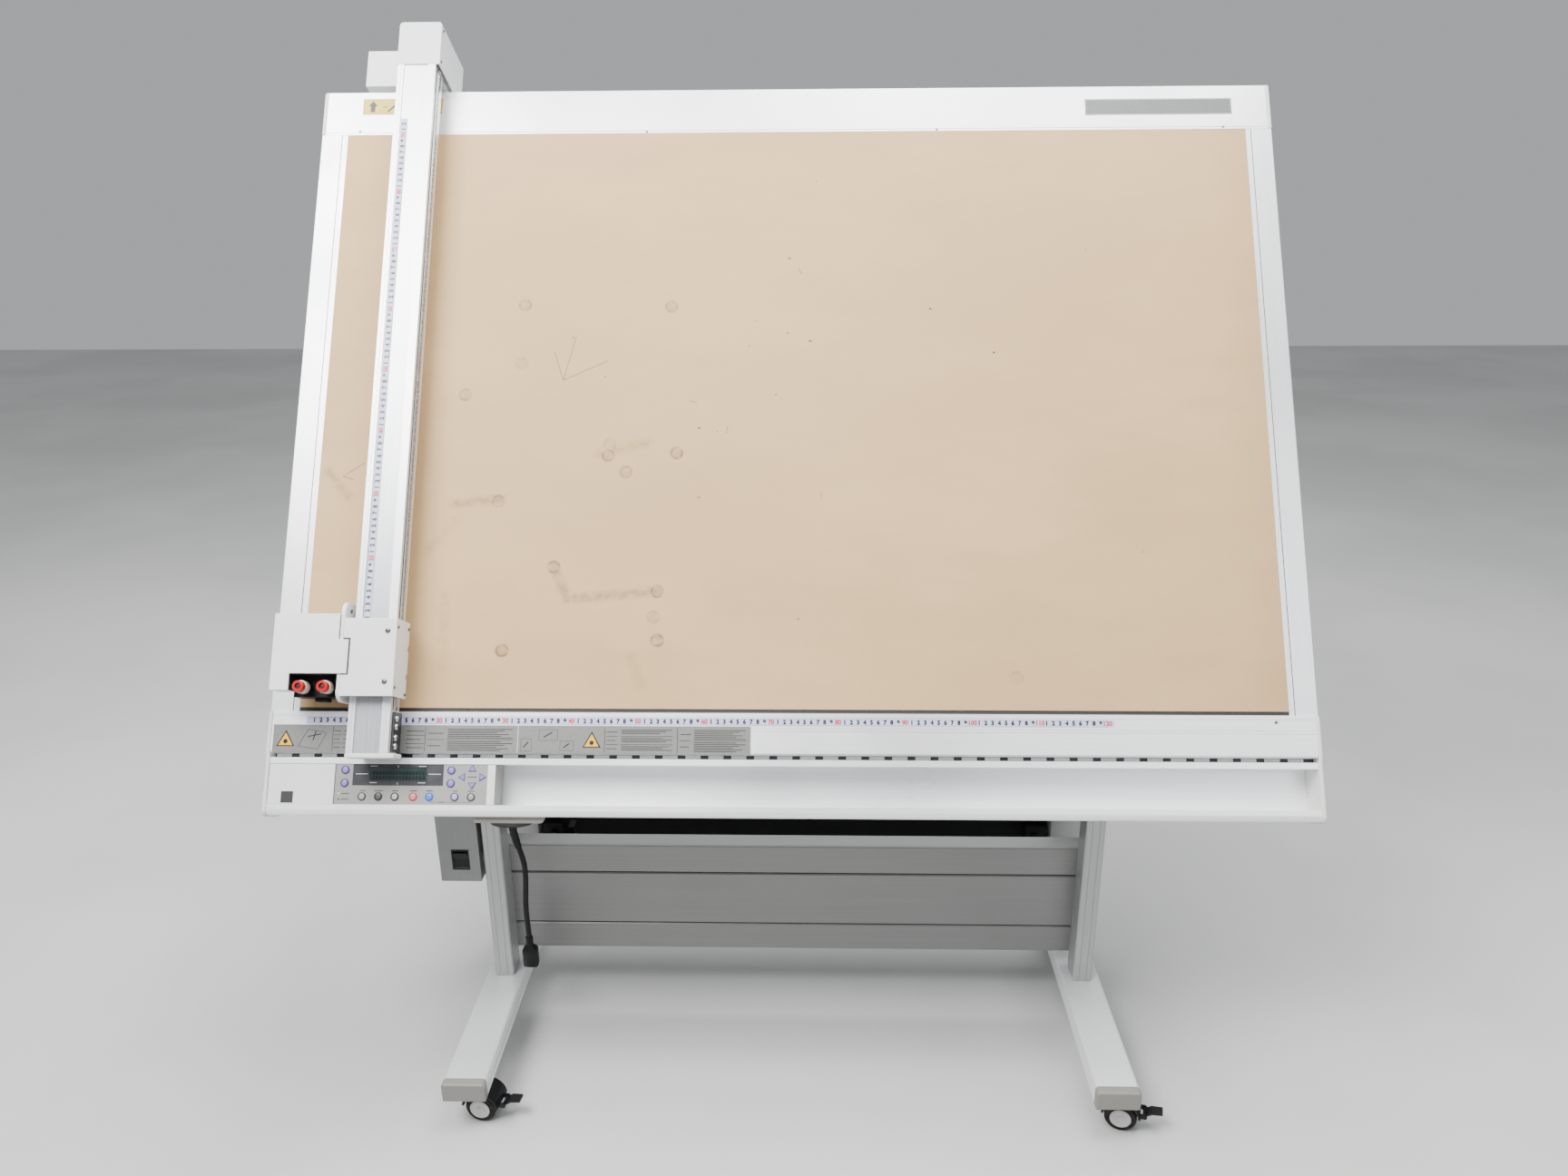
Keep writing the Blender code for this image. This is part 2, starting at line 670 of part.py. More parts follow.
def wheel_room():
    """The space that the two treads sweep, cut out of the hood's cap."""
    return rod(WHEEL_RADIUS + 0.0019, -0.04, 0.04, "X", 24)


def split_room(room):
    """The treads' space on each side of the web."""
    sides = []
    for sign in (-1, 1):
        span = sorted((sign * (FORK_HALF), sign * 0.05))
        keep = block(span, (-0.1, 0.1), (-0.2, 0.1))
        sides.append(boolean(room.copy(), [keep], "INTERSECT"))
    return sides


def wheel_pair_mesh():
    """Two treads on one turning axle."""
    side = [(0.0, WHEEL_OUTER), (0.0165, WHEEL_OUTER), (0.0170, WHEEL_OUTER - 0.001),
            (0.0225, WHEEL_OUTER - 0.001), (WHEEL_RADIUS, WHEEL_OUTER - 0.0035),
            (WHEEL_RADIUS, WHEEL_INNER + 0.002), (0.0230, WHEEL_INNER), (AXLE_RADIUS, WHEEL_INNER)]
    profile = side + [(radius, -along) for radius, along in reversed(side)]
    return turned(profile, 24, "X")


def brake_hinge():
    """The pedal's pivot behind the hood, in the fork's (y, z)."""
    return (-TRAIL - 0.0360, -(CASTER_HEIGHT - WHEEL_RADIUS) + 0.004)


def brake_mesh():
    """Pedal with a barrel at its root; its origin is on the barrel's axis."""
    barrel = rod(0.0028, -0.0080, 0.0080, "X", 12)
    pedal = prism([(0.0, -0.0026), (0.0, 0.0020), (-0.010, 0.0085), (-0.026, 0.0100), (-0.027, 0.0070),
                   (-0.011, 0.0045)], -0.0080, 0.0080, "X")
    return joined(barrel, pedal)


def add_casters(frames):
    plain, braked = fork_mesh(False), fork_mesh(True)
    wheels, brake = wheel_pair_mesh(), brake_mesh()
    for place, yaw in CASTER_YAWS.items():
        end, side = place.split("_")
        x = SIDE_X * (-1 if side == "left" else 1)
        y = (FOOT_LENGTH / 2 - CASTER_INSET) * (-1 if end == "front" else 1)
        swivel = empty(f"caster_axis_{place}", (x, y, CASTER_HEIGHT), frames.stand, (0, 0, yaw))
        fork = braked if end == "front" else plain
        piece(f"caster_fork_{place}", fork, black_plastic(), swivel, round_form=True)
        axle = (0, -TRAIL, -(CASTER_HEIGHT - WHEEL_RADIUS))
        piece(f"caster_wheels_{place}", wheels, black_plastic(), swivel, axle, round_form=True)
        if end == "front":
            hinge = brake_hinge()
            piece(f"caster_brake_{place}", brake, black_plastic(), swivel, (0, hinge[0], hinge[1]))


# ---------------------------------------------------------------------------
# Bed
# ---------------------------------------------------------------------------
def rib_points(centre):
    """One folded stiffener under the platen, from its far side to its near side."""
    under = PLATEN_TOP - PLATEN_THICKNESS
    near, far = centre - RIB_FLANGE / 2, centre + RIB_FLANGE / 2
    return [(near + RIB_WALL, under), (near + RIB_WALL, RIB_BOTTOM + RIB_WALL),
            (far, RIB_BOTTOM + RIB_WALL), (far, RIB_BOTTOM), (near, RIB_BOTTOM), (near, under)]


def platen_outline():
    """Flat plate with folded stiffeners; two of them take the tilt brackets."""
    centres = [MAT_REAR - 0.039, MAT_REAR - 0.267, MAT_REAR - 0.506,
               PIVOT_V + BRACKET_RIB, PIVOT_V - BRACKET_RIB, MAT_FRONT + 0.024]
    under = PLATEN_TOP - PLATEN_THICKNESS
    outline = [(PLATEN_FRONT, PLATEN_TOP), (MAT_REAR, PLATEN_TOP), (MAT_REAR, under)]
    for centre in centres:
        outline += rib_points(centre)
    return outline + [(PLATEN_FRONT, under)]


def front_rail_outline():
    """Open channel with the ruler's face on top and the beam's slot in front of it."""
    back, front, wall = FRONT_RAIL_BACK, FRONT_RAIL_FRONT, RAIL_WALL
    under = RAIL_TOP - wall
    groove = 0.0008
    ledge = 0.002
    foot_edge = TROUGH_BACK - 0.0047
    outline = [(back, RAIL_TOP), (back, RAIL_BOTTOM), (back - wall, RAIL_BOTTOM), (back - wall, under),
               (front + wall, under), (front + wall, RAIL_BOTTOM), (front, RAIL_BOTTOM),
               (front, SLOT_FLOOR - 0.008), (foot_edge, SLOT_FLOOR - 0.008), (foot_edge, SLOT_FLOOR),
               (front, SLOT_FLOOR), (front, RAIL_TOP - ledge), (front + ledge, RAIL_TOP - ledge),
               (front + ledge, RAIL_TOP)]
    for offset in (-0.0280, -0.0235, -0.0070):
        line = back + offset
        outline += [(line, RAIL_TOP), (line, RAIL_TOP - groove), (line + 0.001, RAIL_TOP - groove),
                    (line + 0.001, RAIL_TOP)]
    return outline


def trough_outline():
    """Tool trough with a turned-over front edge; its rear lip lies over the rail's foot."""
    wall = TROUGH_WALL
    lip_under = SLOT_FLOOR + GAP
    wall_back = TROUGH_INNER_BACK + wall
    inside_floor = -TROUGH_DEPTH
    round_radius = 0.009
    round_centre = (TROUGH_FRONT + round_radius, -round_radius)
    outline = [(TROUGH_BACK, 0), (TROUGH_INNER_BACK, 0), (TROUGH_INNER_BACK, inside_floor),
               (TROUGH_INNER_FRONT, inside_floor), (TROUGH_INNER_FRONT, 0)]
    outline += arc(round_centre, round_radius, 90, 180, 5)
    outline += [(TROUGH_FRONT, -0.045), (TROUGH_FRONT + 0.007, TROUGH_BOTTOM),
                (TROUGH_FRONT + 0.010, TROUGH_BOTTOM), (TROUGH_FRONT + wall, -0.044),
                (TROUGH_FRONT + wall, -0.010), (TROUGH_FRONT + 0.010, -wall),
                (TROUGH_INNER_FRONT - wall, -wall), (TROUGH_INNER_FRONT - wall, TROUGH_BOTTOM),
                (wall_back, TROUGH_BOTTOM), (wall_back, lip_under), (TROUGH_BACK, lip_under)]
    return outline


def front_cap_outline():
    """End cap over the front rail and the trough."""
    front, bottom = TROUGH_FRONT - 0.002, TROUGH_BOTTOM - 0.002
    return ([(FRONT_RAIL_BACK, RAIL_TOP + 0.001), (FRONT_RAIL_FRONT, RAIL_TOP + 0.001),
             (FRONT_RAIL_FRONT - 0.005, 0.0015), (front + 0.010, 0.0015)]
            + arc((front + 0.010, -0.0085), 0.010, 90, 180, 5)[1:]
            + [(front, -0.047), (front + 0.008, bottom), (FRONT_RAIL_BACK, bottom)])


def rear_rail_outline():
    """Open channel with a guide groove along its back for the beam's rear end."""
    front, back, wall = REAR_RAIL_FRONT, REAR_RAIL_BACK, RAIL_WALL
    groove_low, groove_high, deep = -0.026, -0.014, 0.0055
    return [(front, 0), (front, RAIL_BOTTOM), (front + wall, RAIL_BOTTOM), (front + wall, -wall),
            (back - wall, -wall), (back - wall, groove_high + wall),
            (back - deep - wall, groove_high + wall), (back - deep - wall, groove_low - wall),
            (back - wall, groove_low - wall), (back - wall, RAIL_BOTTOM), (back, RAIL_BOTTOM),
            (back, groove_low), (back - deep, groove_low), (back - deep, groove_high),
            (back, groove_high), (back, -0.001), (back - 0.001, 0), (front + 0.0045, 0),
            (front + 0.0045, -0.0008), (front + 0.0035, -0.0008), (front + 0.0035, 0)]


def side_rail_outline(inner, outer):
    """Channel beside the mat, with a fine seam before its inner strip."""
    out = 1 if outer > inner else -1
    wall, edge = RAIL_WALL, 0.0015
    seam = inner + out * (abs(outer - inner) - 0.034)
    drop = -0.0006
    outline = [(outer, -0.045), (outer, -edge), (outer - out * edge, 0), (seam, 0), (seam, -edge),
               (seam - out * 0.001, -edge), (seam - out * 0.001, drop), (inner, drop),
               (inner, drop - wall), (outer - out * wall, drop - wall), (outer - out * wall, -0.045)]
    return outline


def add_platen_and_mat(frames):
    piece("platen", prism(platen_outline(), MAT_LEFT, MAT_RIGHT, "X"), satin_aluminium(), frames.tilt,
          BED_ORIGIN)
    mat = block((MAT_LEFT, MAT_RIGHT), (MAT_FRONT, MAT_REAR), (-MAT_THICKNESS, 0))
    piece("cutting_mat", mat, material("mat_tan", (0.62, 0.47, 0.34), 0.70), frames.tilt, BED_ORIGIN)


def add_rails(frames):
    piece("front_rail", prism(front_rail_outline(), RAIL_LEFT, RAIL_RIGHT, "X"), satin_aluminium(),
          frames.tilt, BED_ORIGIN)
    piece("tool_trough", prism(trough_outline(), RAIL_LEFT, RAIL_RIGHT, "X"), satin_aluminium(),
          frames.tilt, BED_ORIGIN)
    piece("rear_rail", prism(rear_rail_outline(), RAIL_LEFT, RAIL_RIGHT, "X"), satin_aluminium(),
          frames.tilt, BED_ORIGIN)
    span = (FRONT_RAIL_BACK + GAP, REAR_RAIL_FRONT - GAP)
    edges = (("left", MAT_LEFT - GAP, BED_LEFT), ("right", MAT_RIGHT + GAP, BED_RIGHT))
    for side, inner, outer in edges:
        outline = side_rail_outline(inner, outer)
        piece(f"side_rail_{side}", prism(outline, span[0], span[1], "Y"), satin_aluminium(),
              frames.tilt, BED_ORIGIN)


def rear_cap_outline():
    front, back = REAR_RAIL_FRONT, REAR_RAIL_BACK + 0.0015
    return [(front, 0.001), (front, RAIL_BOTTOM - 0.002), (back, RAIL_BOTTOM - 0.002),
            (back, -0.003), (back - 0.004, 0.001)]


def add_end_caps(frames):
    spans = (("left", BED_LEFT, BED_LEFT + END_CAP), ("right", BED_RIGHT - END_CAP, BED_RIGHT))
    for side, low, high in spans:
        front = piece(f"front_cap_{side}", prism(front_cap_outline(), low, high, "X"), cap_plastic(),
                      frames.tilt, BED_ORIGIN)
        rear = piece(f"rear_cap_{side}", prism(rear_cap_outline(), low, high, "X"), cap_plastic(),
                     frames.tilt, BED_ORIGIN)
        soften(front, 0.0012, 1)
        soften(rear, 0.0012, 1)


# Keys on the control panel: u and v of the round ones, then of the arrows with their heading.
FUNCTION_KEYS = ((0.0615, -0.1133), (0.0615, -0.1325), (0.2216, -0.1132), (0.2216, -0.1324))
BOTTOM_KEYS = (0.0889, 0.1137, 0.1385, 0.1660, 0.1904, 0.2285, 0.2531)
BOTTOM_ROW = -0.1523
ARROWS = ((0.2535, -0.1111, 90), (0.2390, -0.1230, 180), (0.2679, -0.1228, 0), (0.2536, -0.1344, 270))
KEY_RADIUS = 0.0058
ARROW_RADIUS = 0.0062
KEY_RISE = 0.0005
BEZEL = (0.0730, 0.2100, -0.1362)
WINDOW = (0.0985, 0.1840, -0.1285, -0.1095)


def key_meshes():
    """Round and arrow keys that stand a little out of the membrane."""
    keys = []
    places = list(FUNCTION_KEYS) + [(u, BOTTOM_ROW) for u in BOTTOM_KEYS]
    for u, v in places:
        keys.append(moved(rod(KEY_RADIUS, PANEL_TOP - 0.002, PANEL_TOP + KEY_RISE, segments=14), u, v))
    for u, v, heading in ARROWS:
        corners = arc((u, v), ARROW_RADIUS, heading, heading + 240, 2)
        keys.append(prism(corners, PANEL_TOP - 0.002, PANEL_TOP + KEY_RISE, "Z"))
    return keys


def add_control_panel(frames):
    """Membrane panel and display that fill the trough's left end, with a blank plate beside."""
    low = PANEL_TOP - PANEL_BODY
    v_span = (TROUGH_INNER_FRONT + GAP, TROUGH_INNER_BACK - GAP)
    body = block((PANEL_SPLIT, PANEL_RIGHT), v_span, (low, PANEL_TOP))
    bezel = block((BEZEL[0], BEZEL[1]), (BEZEL[2], 0), (PANEL_TOP - 0.0006, 0.01))
    window_u, window_v = (WINDOW[0], WINDOW[1]), (WINDOW[2], WINDOW[3])
    pocket = block((window_u[0] - GAP, window_u[1] + GAP), (window_v[0] - GAP, window_v[1] + GAP),
                   (PANEL_TOP - 0.0035, 0.01))
    panel = joined(cut(body, bezel, pocket), *key_meshes())
    piece("control_panel", panel, material("keypad_grey", (0.60, 0.59, 0.56), 0.5), frames.tilt, BED_ORIGIN)
    glass = block(window_u, window_v, (PANEL_TOP - 0.0035 + GAP, PANEL_TOP - 0.0010))
    piece("display_window", glass, material("display_glass", (0.02, 0.035, 0.035), 0.12), frames.tilt,
          BED_ORIGIN)
    plate = block((RAIL_LEFT + GAP, PANEL_SPLIT - GAP), v_span, (low, PANEL_TOP))
    recess = block((-0.0336, -0.0150), (-0.1624, -0.1451), (PANEL_TOP - 0.0012, 0.01))
    piece("blank_plate", cut(plate, recess), cover_paint(), frames.tilt, BED_ORIGIN)


def add_bed_brackets(frames):
    """Hanger that joins two stiffeners to the tilt shaft, on each side."""
    outer = SIDE_X - HEAD_WIDTH / 2 - 0.002
    top = RIB_BOTTOM - GAP
    reach = 0.080
    cheek = [(PIVOT_V + reach, top), (PIVOT_V - reach, top)]
    cheek += arc((PIVOT_V, PIVOT_W), BRACKET_RADIUS, 200, 340, 8)
    for side, sign in (("left", -1), ("right", 1)):
        x = sorted((sign * outer, sign * (outer - BRACKET_THICKNESS)))
        plate = prism(cheek, x[0], x[1], "X")
        foot_x = sorted((sign * outer, sign * (outer - 0.050)))
        foot = block(foot_x, (PIVOT_V - reach, PIVOT_V + reach), (top - 0.006, top))
        boss_x = sorted((sign * (outer - 0.002), sign * (outer - 0.028)))
        boss = moved(rod(0.024, boss_x[0], boss_x[1], "X"), y=PIVOT_V, z=PIVOT_W)
        bore = moved(rod(SHAFT_RADIUS + RUN, -1, 1, "X"), y=PIVOT_V, z=PIVOT_W)
        mesh = cut(joined(plate, foot, boss), bore)
        piece(f"tilt_bracket_{side}", mesh, dark_steel(), frames.tilt, on_bed(BED_MIDDLE, 0, 0))


# ---------------------------------------------------------------------------
# Beam
# ---------------------------------------------------------------------------
BEAM_RIGHT = BEAM_LEFT + BEAM_WIDTH
HEAD_FRONT = CARRIAGE_TRAVEL + COVER_BACK + 0.0010
BEAM_BACK = HEAD_FRONT - GAP
REAR_HEAD_LENGTH = 0.077
REAR_HEAD_LEFT = BEAM_LEFT - 0.002
REAR_HEAD_RIGHT = 0.150
REAR_HEAD_BOTTOM = -0.062
MOTOR_BOX_WIDTH = 0.082


def beam_outline():
    """Box section with a ruler recess on top and a guide groove in its left side."""
    left, right = BEAM_LEFT, BEAM_RIGHT
    recess = (left + 0.0100, right - 0.0125, 0.0020)
    line = BEAM_TOP - 0.006
    return [(left, BEAM_BOTTOM), (left, GUIDE_LOW), (left + GUIDE_DEPTH, GUIDE_LOW),
            (left + GUIDE_DEPTH, GUIDE_HIGH), (left, GUIDE_HIGH), (left, BEAM_TOP),
            (left + 0.0055, BEAM_TOP), (left + 0.0055, BEAM_TOP - 0.0006),
            (left + 0.0063, BEAM_TOP - 0.0006), (left + 0.0063, BEAM_TOP),
            (recess[0], BEAM_TOP), (recess[0], BEAM_TOP - recess[2]),
            (recess[1], BEAM_TOP - recess[2]), (recess[1], BEAM_TOP), (right, BEAM_TOP),
            (right, line), (right - 0.001, line), (right - 0.001, line - 0.0015),
            (right, line - 0.0015), (right, BEAM_BOTTOM)]


def add_beam(frames):
    bar = prism(beam_outline(), BEAM_FRONT, BEAM_BACK, "Y")
    hollow = block((BEAM_LEFT + 2 * BEAM_WALL, BEAM_RIGHT - BEAM_WALL), (BEAM_FRONT - 0.1, BEAM_BACK + 0.1),
                   (BEAM_BOTTOM + BEAM_WALL, BEAM_TOP - 0.0020 - BEAM_WALL))
    piece("beam", cut(bar, hollow), satin_aluminium(), frames.beam)
    outline = rounded_rectangle((BEAM_LEFT - 0.0015, BEAM_RIGHT + 0.0100),
                                (BEAM_BOTTOM + 0.004, BEAM_TOP + 0.0015), 0.003, 2)
    cap = prism(outline, BEAM_FRONT - GAP - 0.0070, BEAM_FRONT - GAP, "Y")
    soften(piece("beam_end_cap", cap, cap_plastic(), frames.beam), 0.001, 1)


def add_front_foot(frames):
    """Blade that runs in the slot before the front rail, bolted to the beam's right side."""
    slot_middle = FRONT_RAIL_FRONT - SLOT_WIDTH / 2
    blade_half = 0.0014
    under = BEAM_BOTTOM - GAP
    outline = [(-0.060, under), (-0.060, under - 0.004), (slot_middle + blade_half, under - 0.004),
               (slot_middle + blade_half, SLOT_FLOOR + 0.002), (slot_middle - blade_half, SLOT_FLOOR + 0.002),
               (slot_middle - blade_half, under)]
    side = BEAM_RIGHT + GAP
    blade = prism(outline, BEAM_LEFT + 0.003, side + 0.003, "X")
    cheek = block((side, side + 0.003), (-0.088, -0.030), (under - 0.004, BEAM_TOP - 0.009))
    screws = []
    for v in (-0.0395, -0.0515, -0.0675, -0.0800):
        screws.append(moved(rod(0.0028, side + 0.002, side + 0.0052, "X", 10), y=v, z=0.039))
    piece("beam_front_foot", joined(blade, cheek, *screws), brushed_grey(), frames.beam)


def add_rear_head(frames):
    """Cover round the beam's rear end, with the guide that runs in the rear rail's groove."""
    back = HEAD_FRONT + REAR_HEAD_LENGTH
    left, right, bottom = REAR_HEAD_LEFT, REAR_HEAD_RIGHT, REAR_HEAD_BOTTOM
    corner = 0.006
    plan = [(left, HEAD_FRONT), (right, HEAD_FRONT)]
    plan += arc((right - corner, back - corner), corner, 0, 90, 3)
    plan += arc((left + corner, back - corner), corner, 90, 180, 3)
    shell = prism(plan, bottom, BEAM_TOP, "Z")
    hollow = block((left + SHEET, right - SHEET), (HEAD_FRONT - 0.05, back - SHEET),
                   (bottom - 0.01, BEAM_TOP - SHEET))
    core = block((left + 0.005, right - 0.010), (HEAD_FRONT, HEAD_FRONT + 0.034), (-0.045, BEAM_TOP - 0.001))
    wall_tie = block((left + 0.001, left + 0.008), (HEAD_FRONT + 0.004, HEAD_FRONT + 0.030), (-0.040, 0.050))
    tongue = block((left + 0.005, right - 0.010), (REAR_RAIL_BACK - 0.0045, HEAD_FRONT + 0.010),
                   (-0.0255, -0.0145))
    head = joined(cut(shell, hollow), core, wall_tie, tongue)
    piece("beam_rear_head", head, cover_paint(), frames.beam)
    box = block((left - GAP - MOTOR_BOX_WIDTH, left - GAP), (HEAD_FRONT + 0.012, back + 0.003),
                (-0.080, -0.020))
    soften(piece("motor_box", box, cover_paint(), frames.beam), 0.002, 2)


# ---------------------------------------------------------------------------
# Carriage
# ---------------------------------------------------------------------------
def add_side_plate(frames):
    """Plate beside the beam, with the arm over it and the guide in its groove."""
    left, right = SIDE_PLATE
    under_cover = CARRIAGE_TOP - SHEET - GAP
    outline = rounded_rectangle((SIDE_PLATE_FRONT, SIDE_PLATE_BACK), (0.010, under_cover), 0.016, 5)
    plate = prism(outline, left, right, "X")
    arm = block((right - 0.003, COVER_RIGHT - SHEET - GAP), (0.012, 0.084), (BEAM_TOP + 0.0025, under_cover))
    guide = block((right - 0.002, BEAM_LEFT - 0.001), (0.000, 0.096),
                  (BEAM_BOTTOM + 0.006, GUIDE_HIGH + 0.010))
    tongue = block((right - 0.002, BEAM_LEFT + GUIDE_DEPTH - 0.0005), (0.004, 0.092),
                   (GUIDE_LOW + 0.0005, GUIDE_HIGH - 0.0005))
    piece("carriage_side_plate", joined(plate, arm, guide, tongue), cover_paint(), frames.carriage)


def add_right_cover(frames):
    """Folded cover over the beam, notched for the left cover's tongue."""
    left = SIDE_PLATE[1] + GAP
    notch = TONGUE_RIGHT + SEAM
    top = [(left, COVER_FRONT), (COVER_RIGHT, COVER_FRONT), (COVER_RIGHT, COVER_BACK), (left, COVER_BACK),
           (left, TONGUE[1] + SEAM), (notch, TONGUE[1] + SEAM), (notch, TONGUE[0] - SEAM),
           (left, TONGUE[0] - SEAM)]
    sheet = prism(top, CARRIAGE_TOP - SHEET, CARRIAGE_TOP, "Z")
    edge = [(COVER_FRONT, CARRIAGE_TOP), (COVER_FRONT, BEAM_BOTTOM)]
    for middle in (0.024, 0.066):
        edge += [(middle - 0.004, BEAM_BOTTOM), (middle - 0.003, BEAM_BOTTOM + 0.004),
                 (middle + 0.003, BEAM_BOTTOM + 0.004), (middle + 0.004, BEAM_BOTTOM)]
    edge += [(COVER_BACK, BEAM_BOTTOM), (COVER_BACK, CARRIAGE_TOP)]
    side = prism(edge, COVER_RIGHT - SHEET, COVER_RIGHT, "X")
    piece("carriage_cover_right", joined(sheet, side), cover_paint(), frames.carriage)


def add_left_cover(frames):
    """Tool cover with an open notch over the two holders."""
    left, front, back = LEFT_COVER
    right = SIDE_PLATE[0] - GAP
    top = [(left, front), (NOTCH_LEFT, front), (NOTCH_LEFT, TONGUE[0]), (TONGUE_RIGHT, TONGUE[0]),
           (TONGUE_RIGHT, TONGUE[1]), (right, TONGUE[1]), (right, back), (left, back)]
    walls = [(left, front), (NOTCH_LEFT, front), (NOTCH_LEFT, TONGUE[0]), (right, TONGUE[0]),
             (right, back), (left, back)]
    wall = SHEET
    inside = [(left + wall, front + wall), (NOTCH_LEFT - wall, front + wall),
              (NOTCH_LEFT - wall, TONGUE[0] + wall), (right - wall, TONGUE[0] + wall),
              (right - wall, back - wall), (left + wall, back - wall)]
    sheet = prism(top, CARRIAGE_TOP - SHEET, CARRIAGE_TOP, "Z")
    ring = prism(walls, LEFT_COVER_BOTTOM, CARRIAGE_TOP - SHEET / 2, "Z")
    hollow = prism(inside, LEFT_COVER_BOTTOM - 0.01, CARRIAGE_TOP - SHEET, "Z")
    piece("carriage_cover_left", cut(joined(sheet, ring), hollow), cover_paint(), frames.carriage)


def add_tool_block(frames):
    """Block that guides the two holders, under the left cover's notch."""
    right = SIDE_PLATE[0] - GAP
    body = block((-0.0060, right), (-0.0085, 0.060), (0.014, LEFT_COVER_BOTTOM - GAP))
    lug = block((0.022, 0.040), (-0.014, -0.006), (0.018, 0.034))
    bores = [moved(rod(TOOL_BODY_RADIUS + RUN, -0.1, 0.1), u, TOOL_LINE) for u in TOOLS]
    piece("tool_block", cut(joined(body, lug), *bores), black_plastic(), frames.carriage)


def holder_mesh():
    """Blade holder: tip, barrel, grip ring and turned cap; its tip rests one stroke off the mat."""
    tip = TOOL_STROKE + GAP
    ring = LEFT_COVER_BOTTOM + TOOL_STROKE + 0.0005
    return turned([(0, tip), (0.0010, tip), (0.0030, tip + 0.005), (0.0060, tip + 0.008),
                   (TOOL_BODY_RADIUS, tip + 0.011), (TOOL_BODY_RADIUS, ring), (TOOL_RING_RADIUS, ring),
                   (TOOL_RING_RADIUS, ring + 0.020), (0.0085, ring + 0.0205), (0.0085, ring + 0.0285),
                   (0.0075, ring + 0.0295), (0.0045, ring + 0.0295), (0.0045, ring + 0.0255),
                   (0, ring + 0.0255)])


def add_tool_holders(frames):
    red = material("holder_red", (0.55, 0.02, 0.03), 0.35)
    mesh = holder_mesh()
    for side, u in zip(("left", "right"), TOOLS):
        piece(f"tool_holder_{side}", mesh, red, frames.carriage, (u, TOOL_LINE, 0), round_form=True)


def build():
    clear_scene()
    frames = Frames()
    for side, x in (("left", -SIDE_X), ("right", SIDE_X)):
        add_foot(side, x, frames)
        add_uprights(side, x, frames)
    add_heads_and_shaft(frames)
    add_stretchers(frames)
    add_cross_member(frames)
    add_lock_lever(frames)
    add_switch_box(frames)
    add_cable_outlet(frames)
    add_casters(frames)
    add_platen_and_mat(frames)
    add_rails(frames)
    add_end_caps(frames)
    add_control_panel(frames)
    add_bed_brackets(frames)
    add_beam(frames)
    add_front_foot(frames)
    add_rear_head(frames)
    add_side_plate(frames)
    add_right_cover(frames)
    add_left_cover(frames)
    add_tool_block(frames)
    add_tool_holders(frames)


build()
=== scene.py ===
"""Looks of the flatbed vinyl cutter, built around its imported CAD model.

Metres, +Z up. Bed coordinates are used for what sits on the tilting bed: u runs along
the long ruler from its zero, v up the bed from the tools' home and w out of the mat.
"""
import math

import bmesh
import bpy
from mathutils import Matrix, Vector


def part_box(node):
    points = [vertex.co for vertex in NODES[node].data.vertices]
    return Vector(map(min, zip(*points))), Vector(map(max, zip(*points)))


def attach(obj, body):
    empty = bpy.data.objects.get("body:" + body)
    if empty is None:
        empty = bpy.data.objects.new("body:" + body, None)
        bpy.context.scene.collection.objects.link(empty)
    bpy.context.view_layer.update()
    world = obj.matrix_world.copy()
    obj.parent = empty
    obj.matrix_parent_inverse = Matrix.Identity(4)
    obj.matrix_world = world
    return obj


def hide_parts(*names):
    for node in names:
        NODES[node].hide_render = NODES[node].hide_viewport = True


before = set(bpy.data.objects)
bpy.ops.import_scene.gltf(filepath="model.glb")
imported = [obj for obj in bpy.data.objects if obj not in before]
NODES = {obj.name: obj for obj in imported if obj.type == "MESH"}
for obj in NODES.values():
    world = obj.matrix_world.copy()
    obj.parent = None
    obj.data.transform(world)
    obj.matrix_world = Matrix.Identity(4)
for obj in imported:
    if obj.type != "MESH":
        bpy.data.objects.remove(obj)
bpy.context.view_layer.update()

# ---- Bed frame --------------------------------------------------------------
TILT = math.radians(60)
BED_ORIGIN = Vector((-0.7265, -0.25298, 0.68704))
BED = Matrix.Translation(BED_ORIGIN) @ Matrix.Rotation(TILT, 4, "X")
WORLD = Matrix.Identity(4)

MAT_TOP = 0.0
RAIL_TOP = 0.003
PANEL_TOP = -0.001
BEAM_RECESS = 0.054
COVER_TOP = 0.075
DECAL = 0.00012              # thickness of a printed label
LIFT = 0.00004               # a label's clearance over its surface


# ---------------------------------------------------------------------------
# Camera, light and floor
# ---------------------------------------------------------------------------
def add_camera():
    camera = bpy.data.objects.new("camera", bpy.data.cameras.new("camera"))
    camera.data.lens = 26.35
    camera.data.sensor_width = 36.0
    camera.data.clip_start = 0.02
    turn = (Matrix.Rotation(0.025427, 4, "Z") @ Matrix.Rotation(math.pi / 2 - 0.3360017, 4, "X")
            @ Matrix.Rotation(-0.006402, 4, "Z"))
    camera.matrix_world = Matrix.Translation((0.03356, -1.82898, 1.41006)) @ turn
    bpy.context.scene.collection.objects.link(camera)
    bpy.context.scene.camera = camera


def add_area(name, place, target, size, energy, colour=(1.0, 1.0, 1.0)):
    lamp = bpy.data.objects.new(name, bpy.data.lights.new(name, "AREA"))
    lamp.data.shape = "RECTANGLE"
    lamp.data.size, lamp.data.size_y = size
    lamp.data.energy = energy
    lamp.data.color = colour
    lamp.location = place
    aim = Vector(target) - Vector(place)
    lamp.rotation_euler = aim.to_track_quat("-Z", "Y").to_euler()
    bpy.context.scene.collection.objects.link(lamp)


